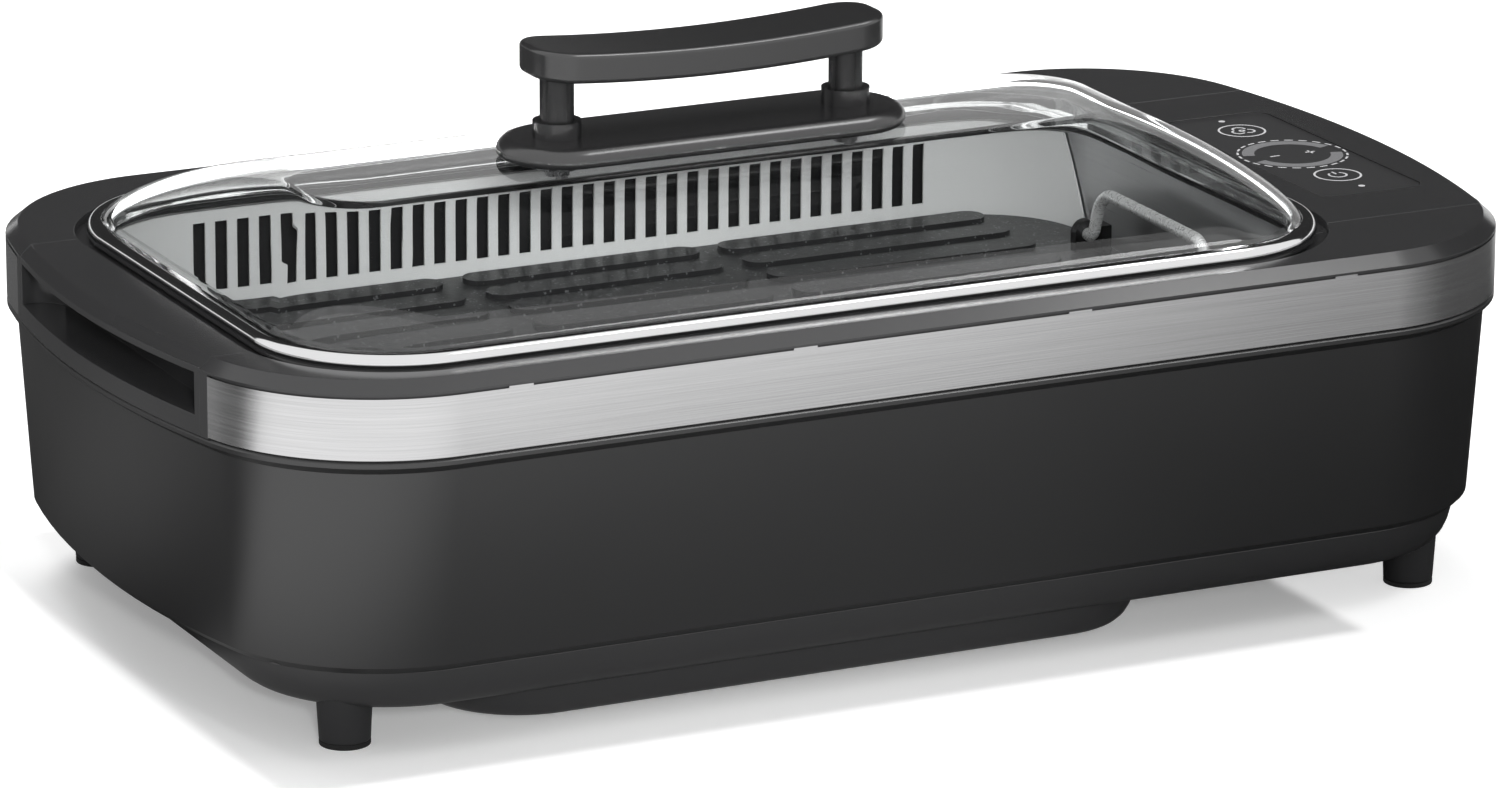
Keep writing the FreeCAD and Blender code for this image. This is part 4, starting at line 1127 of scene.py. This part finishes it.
@dataclass
class Handle:
    """The lid's handle: a flared base, two posts with collars and an arched grip."""

    centre: Pair = LID_CENTRE
    base_half: Pair = (79.0, 24.0)
    base_low: float = 168.9
    base_widest: float = 171.5
    base_high: float = 176.3
    base_under: float = 3.5
    base_draft: float = 5.0
    base_cuts: tuple[int, int, int] = (11, 20, 4)
    grip_half: Pair = (69.0, 16.5)
    grip_corner: float = 13.0
    grip_low: float = 196.1
    grip_height: float = 11.0
    grip_edge: float = 1.8
    grip_rise: float = 3.65
    grip_cuts: tuple[int, int, int] = (9, 12, 24)
    grip_flats: int = 4
    sharp: float = 60.0
    nodes: tuple[str, ...] = ("handle_posts", "handle_collars", "handle_washers", "handle_screws")

    def base(self) -> Surface:
        """The base: an obround whose edge is a lower and an upper quarter of an ellipse.

        Below the widest level the inset is u (1 - cos a) at widest - l sin a, and above it the inset
        is d (1 - cos a) at widest + h sin a, for a from nought to a quarter turn.

        Returns:
            The base's surface.
        """
        steps, per_corner, per_side = self.base_cuts
        turn = np.radians(np.linspace(0.0, 90.0, steps))
        low = np.stack([self.base_under * (1 - np.cos(turn)),
                        self.base_widest - (self.base_widest - self.base_low) * np.sin(turn)], -1)
        high = np.stack([self.base_draft * (1 - np.cos(turn)),
                         self.base_widest + (self.base_high - self.base_widest) * np.sin(turn)], -1)
        wide = self.base_half[1]
        under, over = [np.array([(wide, level), (wide / 2, level)])
                       for level in (self.base_low, self.base_high)]
        inset, height = np.concatenate([under, low[::-1], high[1:], over[::-1]]).T
        rings = inset_rings(self.base_half, wide, inset, height, self.centre, per_corner, per_side)
        return loft(rings, Ends.DRAWN_IN)

    def grip(self) -> Surface:
        """The grip: rings of a rounded section, lifted by rise (x / half)^2 along its length.

        The section's lower and upper edges are quarter circles, so that the inset is e (1 - sin a)
        and the height e (1 - cos a) from the face, for a from nought to a quarter turn.

        Returns:
            The grip's surface.
        """
        steps, per_corner, per_side = self.grip_cuts
        turn = np.radians(np.linspace(0.0, 90.0, steps))
        inset = self.grip_edge * (1 - np.sin(turn))
        height = self.grip_edge * (1 - np.cos(turn))
        flat = np.linspace(self.grip_half[1], self.grip_edge, self.grip_flats + 1)[:-1]
        inset = np.concatenate([flat, inset, inset[::-1], flat[::-1]])
        height = np.concatenate([np.zeros(self.grip_flats), height, self.grip_height - height[::-1],
                                 np.full(self.grip_flats, self.grip_height)]) + self.grip_low
        rings = inset_rings(self.grip_half, self.grip_corner, inset, height, self.centre,
                            per_corner, per_side)
        along = (rings[..., 0] - self.centre[0]) / self.grip_half[0]
        rings[..., 2] += self.grip_rise * along ** 2
        return loft(rings, Ends.DRAWN_IN)

    def build(self) -> None:
        """Makes the base and the grip, and dresses the posts, collars and fasteners."""
        for name, surface, node in (("handle_foot", self.base(), "handle_base"),
                                    ("handle_bar", self.grip(), "handle_grip")):
            piece = put(name, [surface], self.sharp)
            even_shading(piece)
            dress(piece, node)
        for node in self.nodes:
            smoothed(node)


@dataclass(frozen=True)
class Lamp:
    """A soft lamp: a panel with two sides, or a spot with a cone.

    A lamp that isn't shown lights the object without being mirrored in it.
    """

    place: Point
    target: Point
    power: float
    shown: bool = False
    sides: Pair | None = None
    cone: float = 0.0
    soft: float = 0.2
    blend: float = 0.6

    def build(self, name: str) -> None:
        """Makes the lamp and turns it to its target.

        Args:
            name: The lamp's name.
        """
        lamp = bpy.data.lights.new(name, "AREA" if self.sides else "SPOT")
        lamp.energy = self.power
        if self.sides:
            lamp.shape = "RECTANGLE"
            lamp.size, lamp.size_y = self.sides
        else:
            lamp.spot_size = math.radians(self.cone)
            lamp.spot_blend = self.blend
            lamp.shadow_soft_size = self.soft
        stand = link(name, lamp)
        aim = Vector(self.place) - Vector(self.target)
        stand.rotation_euler = aim.to_track_quat("Z", "Y").to_euler()
        stand.location = self.place
        stand.visible_glossy = self.shown
        stand.visible_transmission = False


@dataclass
class Studio:
    """A pale floor, a white surround, soft lamps and the camera."""

    floor_reach: float = 60.0
    floor_colour: float = 0.86
    # The floor's glow is lower inside a box under the object, which is a painted shadow. Outside the box the
    # floor is evenly bright.
    painted_shadow_glow: float = 0.24
    far_glow: float = 0.58
    painted_shadow_middle: Point = (-0.042, 0.0, 0.0)
    painted_shadow_half: Point = (0.205, 0.153, 1.0)
    painted_shadow_edge: float = 0.009
    surround: float = 0.48
    eye: Point = (-1.19731, -2.44715, 0.86972)
    right: Point = (0.89879, -0.43837, 0.00314)
    up: Point = (0.12110, 0.25516, 0.95928)
    back: Point = (-0.42132, -0.86181, 0.28242)
    lens: float = 186.835
    film: float = 36.0
    lamps: dict[str, Lamp] = field(default_factory=lambda: {
        "softbox_over": Lamp((-0.1, 0.95, 2.2), (0.0, 0.0, 0.1), 30.0, False, (1.6, 1.0)),
        "softbox_edge": Lamp((1.0, -0.6, 2.0), (0.0, 0.0, 0.1), 8.0, True, (0.9, 0.35)),
        "well_spot": Lamp((-0.75, -1.85, 0.82), (-0.02, 0.1, 0.125), 200.0, False, None, 13.0),
    })
    card_inner: float = 0.04
    card_outer: float = 8.0
    card_lift: float = 0.002
    card_stops: tuple[Pair, ...] = (
        (-180.0, 0.05), (180.0, 0.05), (-177.0, 0.1), (-171.0, 1.05), (-85.0, 1.05), (-70.0, 0.93),
        (-54.0, 0.36), (-30.0, 0.09), (11.0, 0.1), (27.0, 1.0), (68.0, 1.0), (82.0, 0.15), (125.0, 0.1),
        (138.0, 0.14), (150.0, 0.28), (162.0, 0.3), (170.0, 0.16))
    card_sides: int = 96
    # The card is dimmer within these distances of the middle. This is a painted shadow of the floor as
    # reflections see it.
    card_shadow_middle: float = 0.12
    card_shadow_inner: float = 0.36
    card_shadow_outer: float = 0.54
    card_shadow_level: float = 0.16
    flag_size: Pair = (7.0, 3.4)
    flag_way: Pair = (0.439, 0.898)
    flag_away: float = 1.9
    flag_foot: float = 0.3
    flag_split: float = 1.05
    flag_clear: float = -0.6
    flag_grey: float = 0.03
    view_reach: float = 200.0

    def unseen(self, name: str, mesh: bpy.types.Mesh, shade: Shade, through: bool) -> None:
        """Links a card that only reflections show.

        Args:
            name: The card's name.
            mesh: Its mesh.
            shade: Its material.
            through: Whether reflections from inside the glass show it too.
        """
        mesh.materials.append(shade.owner)
        card = link(name, mesh)
        card.visible_camera = False
        card.visible_diffuse = False
        card.visible_transmission = through
        card.visible_shadow = False

    def floor_card(self) -> None:
        """A ring on the floor that grades what polished and satin sides reflect.

        It is bright before the front left and the rear right and dark at the other two quarters:
        the turn about the middle, as a share of the full circle, is looked up in a ramp. Close to the
        object it is darker: a painted shadow of the floor round the object, as reflections show it.
        """
        count = self.card_sides
        turn = np.linspace(0.0, 2 * np.pi, count, endpoint=False)
        ring = np.stack([np.cos(turn), np.sin(turn), np.zeros(count)], -1)
        points = np.concatenate([ring * self.card_inner, ring * self.card_outer])
        points[:, 2] = self.card_lift
        index = np.arange(count)
        after = np.roll(index, -1)
        quads = np.stack([index, index + count, after + count, after], -1)
        mesh = bpy.data.meshes.new("floor_card")
        mesh.from_pydata(points.tolist(), [], quads.tolist())
        shade = Shade.new_material("floor_card")
        split = [shade.node("ShaderNodeSeparateXYZ", None, {0: shade.place()}, axis) for axis in ("X", "Y")]
        angle = shade.node("ShaderNodeMath", {"operation": "ARCTAN2"}, {0: split[1], 1: split[0]})
        stops = tuple((turn / 360.0 + 0.5, grey) for turn, grey in self.card_stops)
        level = shade.node("ShaderNodeValToRGB", {"stops": stops}, {0: angle * (0.5 / np.pi) + 0.5})
        off = shade.vector("SUBTRACT", shade.place(), (self.card_shadow_middle, 0.0, 0.0))
        away = shade.vector("LENGTH", off, output="Value")
        # Painted shadow in the reflections: the card is dimmer close to the object.
        reflected_floor_shadow = shade.eased(away, self.card_shadow_inner, self.card_shadow_outer, self.card_shadow_level, 1.0)
        shade.close(shade.node("ShaderNodeEmission", None, {"Color": level, "Strength": reflected_floor_shadow}))
        self.unseen("floor_card", mesh, shade, False)

    def rear_flag(self) -> None:
        """A dark upright card behind the object, which keeps a white veil off its level faces.

        Below its split and right of its clear line it is see-through for rays off the glass, the
        only ones that are mirrored with no blur, so that the crown shows the white surround.
        """
        rightward = (self.flag_way[1], -self.flag_way[0])
        along = np.array(rightward) * self.flag_size[0] / 2
        middle = np.array(self.flag_way) * self.flag_away
        left, right = middle - along, middle + along
        low, high = self.flag_foot, self.flag_foot + self.flag_size[1]
        corners = [(*left, low), (*right, low), (*right, high), (*left, high)]
        mesh = bpy.data.meshes.new("rear_flag")
        mesh.from_pydata(corners, [], [(0, 1, 2, 3)])
        shade = Shade.new_material("rear_flag")
        grey = self.flag_grey
        dark = shade.node("ShaderNodeEmission", None, {"Color": (grey, grey, grey, 1.0), "Strength": 1.0})
        clear = shade.node("ShaderNodeBsdfTransparent")
        height = shade.node("ShaderNodeSeparateXYZ", None, {0: shade.place()}, "Z")
        mirrored = shade.node("ShaderNodeLightPath", output="Is Singular Ray")
        across = shade.vector("DOT_PRODUCT", shade.place(), (*rightward, 0.0), "Value")
        share = mirrored * (self.flag_split - height).above(0.0) * across.above(self.flag_clear)
        shade.close(shade.node("ShaderNodeMixShader", None, {0: share, 1: dark, 2: clear}))
        self.unseen("rear_flag", mesh, shade, True)

    def seen(self, shade: Shade) -> Value:
        """One for rays of the camera, of gloss and through glass, and nought for others.

        Args:
            shade: The tree it is made in.

        Returns:
            The value.
        """
        path = [shade.node("ShaderNodeLightPath", output=name)
                for name in ("Is Camera Ray", "Is Glossy Ray", "Is Transmission Ray")]
        return path[0].larger(path[1]).larger(path[2])

    def world(self) -> None:
        """White for what is seen, and a softer light for what is lit."""
        shade = Shade(bpy.data.worlds.new("surround"), "ShaderNodeOutputWorld")
        strength = self.seen(shade) * (1.0 - self.surround) + self.surround
        inputs = {"Color": (1.0, 1.0, 1.0, 1.0), "Strength": strength}
        shade.close(shade.node("ShaderNodeBackground", None, inputs))
        bpy.context.scene.world = shade.owner

    def floor(self) -> None:
        """A wide pale floor that keeps the object's cast shadow and meets the surround in white.

        A painted shadow is added under the object: the glow goes from the painted shadow's to the far one
        with the distance from a box on the floor, the length of max(|p - middle| - half sides, 0).
        """
        corners = np.array([(-1, -1, 0), (1, -1, 0), (1, 1, 0), (-1, 1, 0)]) * self.floor_reach
        mesh = bpy.data.meshes.new("studio_floor")
        mesh.from_pydata(corners.tolist(), [], [(0, 1, 2, 3)])
        plane = link("studio_floor", mesh)
        shade = Shade.new_material("studio_floor")
        pale = self.floor_colour
        dull = shade.node("ShaderNodeBsdfDiffuse", None, {"Color": (pale, pale, pale, 1.0)})
        # Painted shadow: the glow is lower inside the box under the object.
        off = shade.vector("SUBTRACT", shade.place(), self.painted_shadow_middle)
        past = shade.vector("SUBTRACT", shade.vector("ABSOLUTE", off), self.painted_shadow_half)
        out = shade.vector("MAXIMUM", past, (0.0, 0.0, 0.0))
        away = shade.vector("LENGTH", out, output="Value")
        share = shade.eased(away, 0.0, self.painted_shadow_edge, self.painted_shadow_glow, self.far_glow)
        glow = shade.node("ShaderNodeEmission", None, {"Strength": self.seen(shade) * share})
        shade.close(shade.node("ShaderNodeAddShader", None, {0: dull, 1: glow}))
        mesh.materials.append(shade.owner)

    def camera(self) -> None:
        """The camera, from the three directions and the place that the picture was taken with."""
        lens = bpy.data.cameras.new("camera")
        lens.sensor_fit = "HORIZONTAL"
        lens.sensor_width = self.film
        lens.lens = self.lens
        lens.clip_end = self.view_reach
        eye = link("camera", lens)
        rows = [(*axes, place) for *axes, place in zip(self.right, self.up, self.back, self.eye)]
        eye.matrix_world = Matrix(rows + [(0.0, 0.0, 0.0, 1.0)])
        bpy.context.scene.camera = eye

    def build(self) -> None:
        """Sets up the studio."""
        bpy.context.scene.view_settings.view_transform = "Standard"
        self.world()
        self.floor()
        self.floor_card()
        self.rear_flag()
        for name, lamp in self.lamps.items():
            lamp.build(name)
        self.camera()


def main() -> None:
    """Builds the sub-assemblies and the studio."""
    logging.basicConfig(level=logging.INFO, format="%(name)s %(message)s")
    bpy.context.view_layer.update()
    for group in (Body(), TopFrame(), ControlPanel(), Well(), GrillPlate(), Works(), Lid(), Handle()):
        group.build()
        log.info("%s is dressed", type(group).__name__)
    Studio().build()


if __name__ == "__main__":
    main()
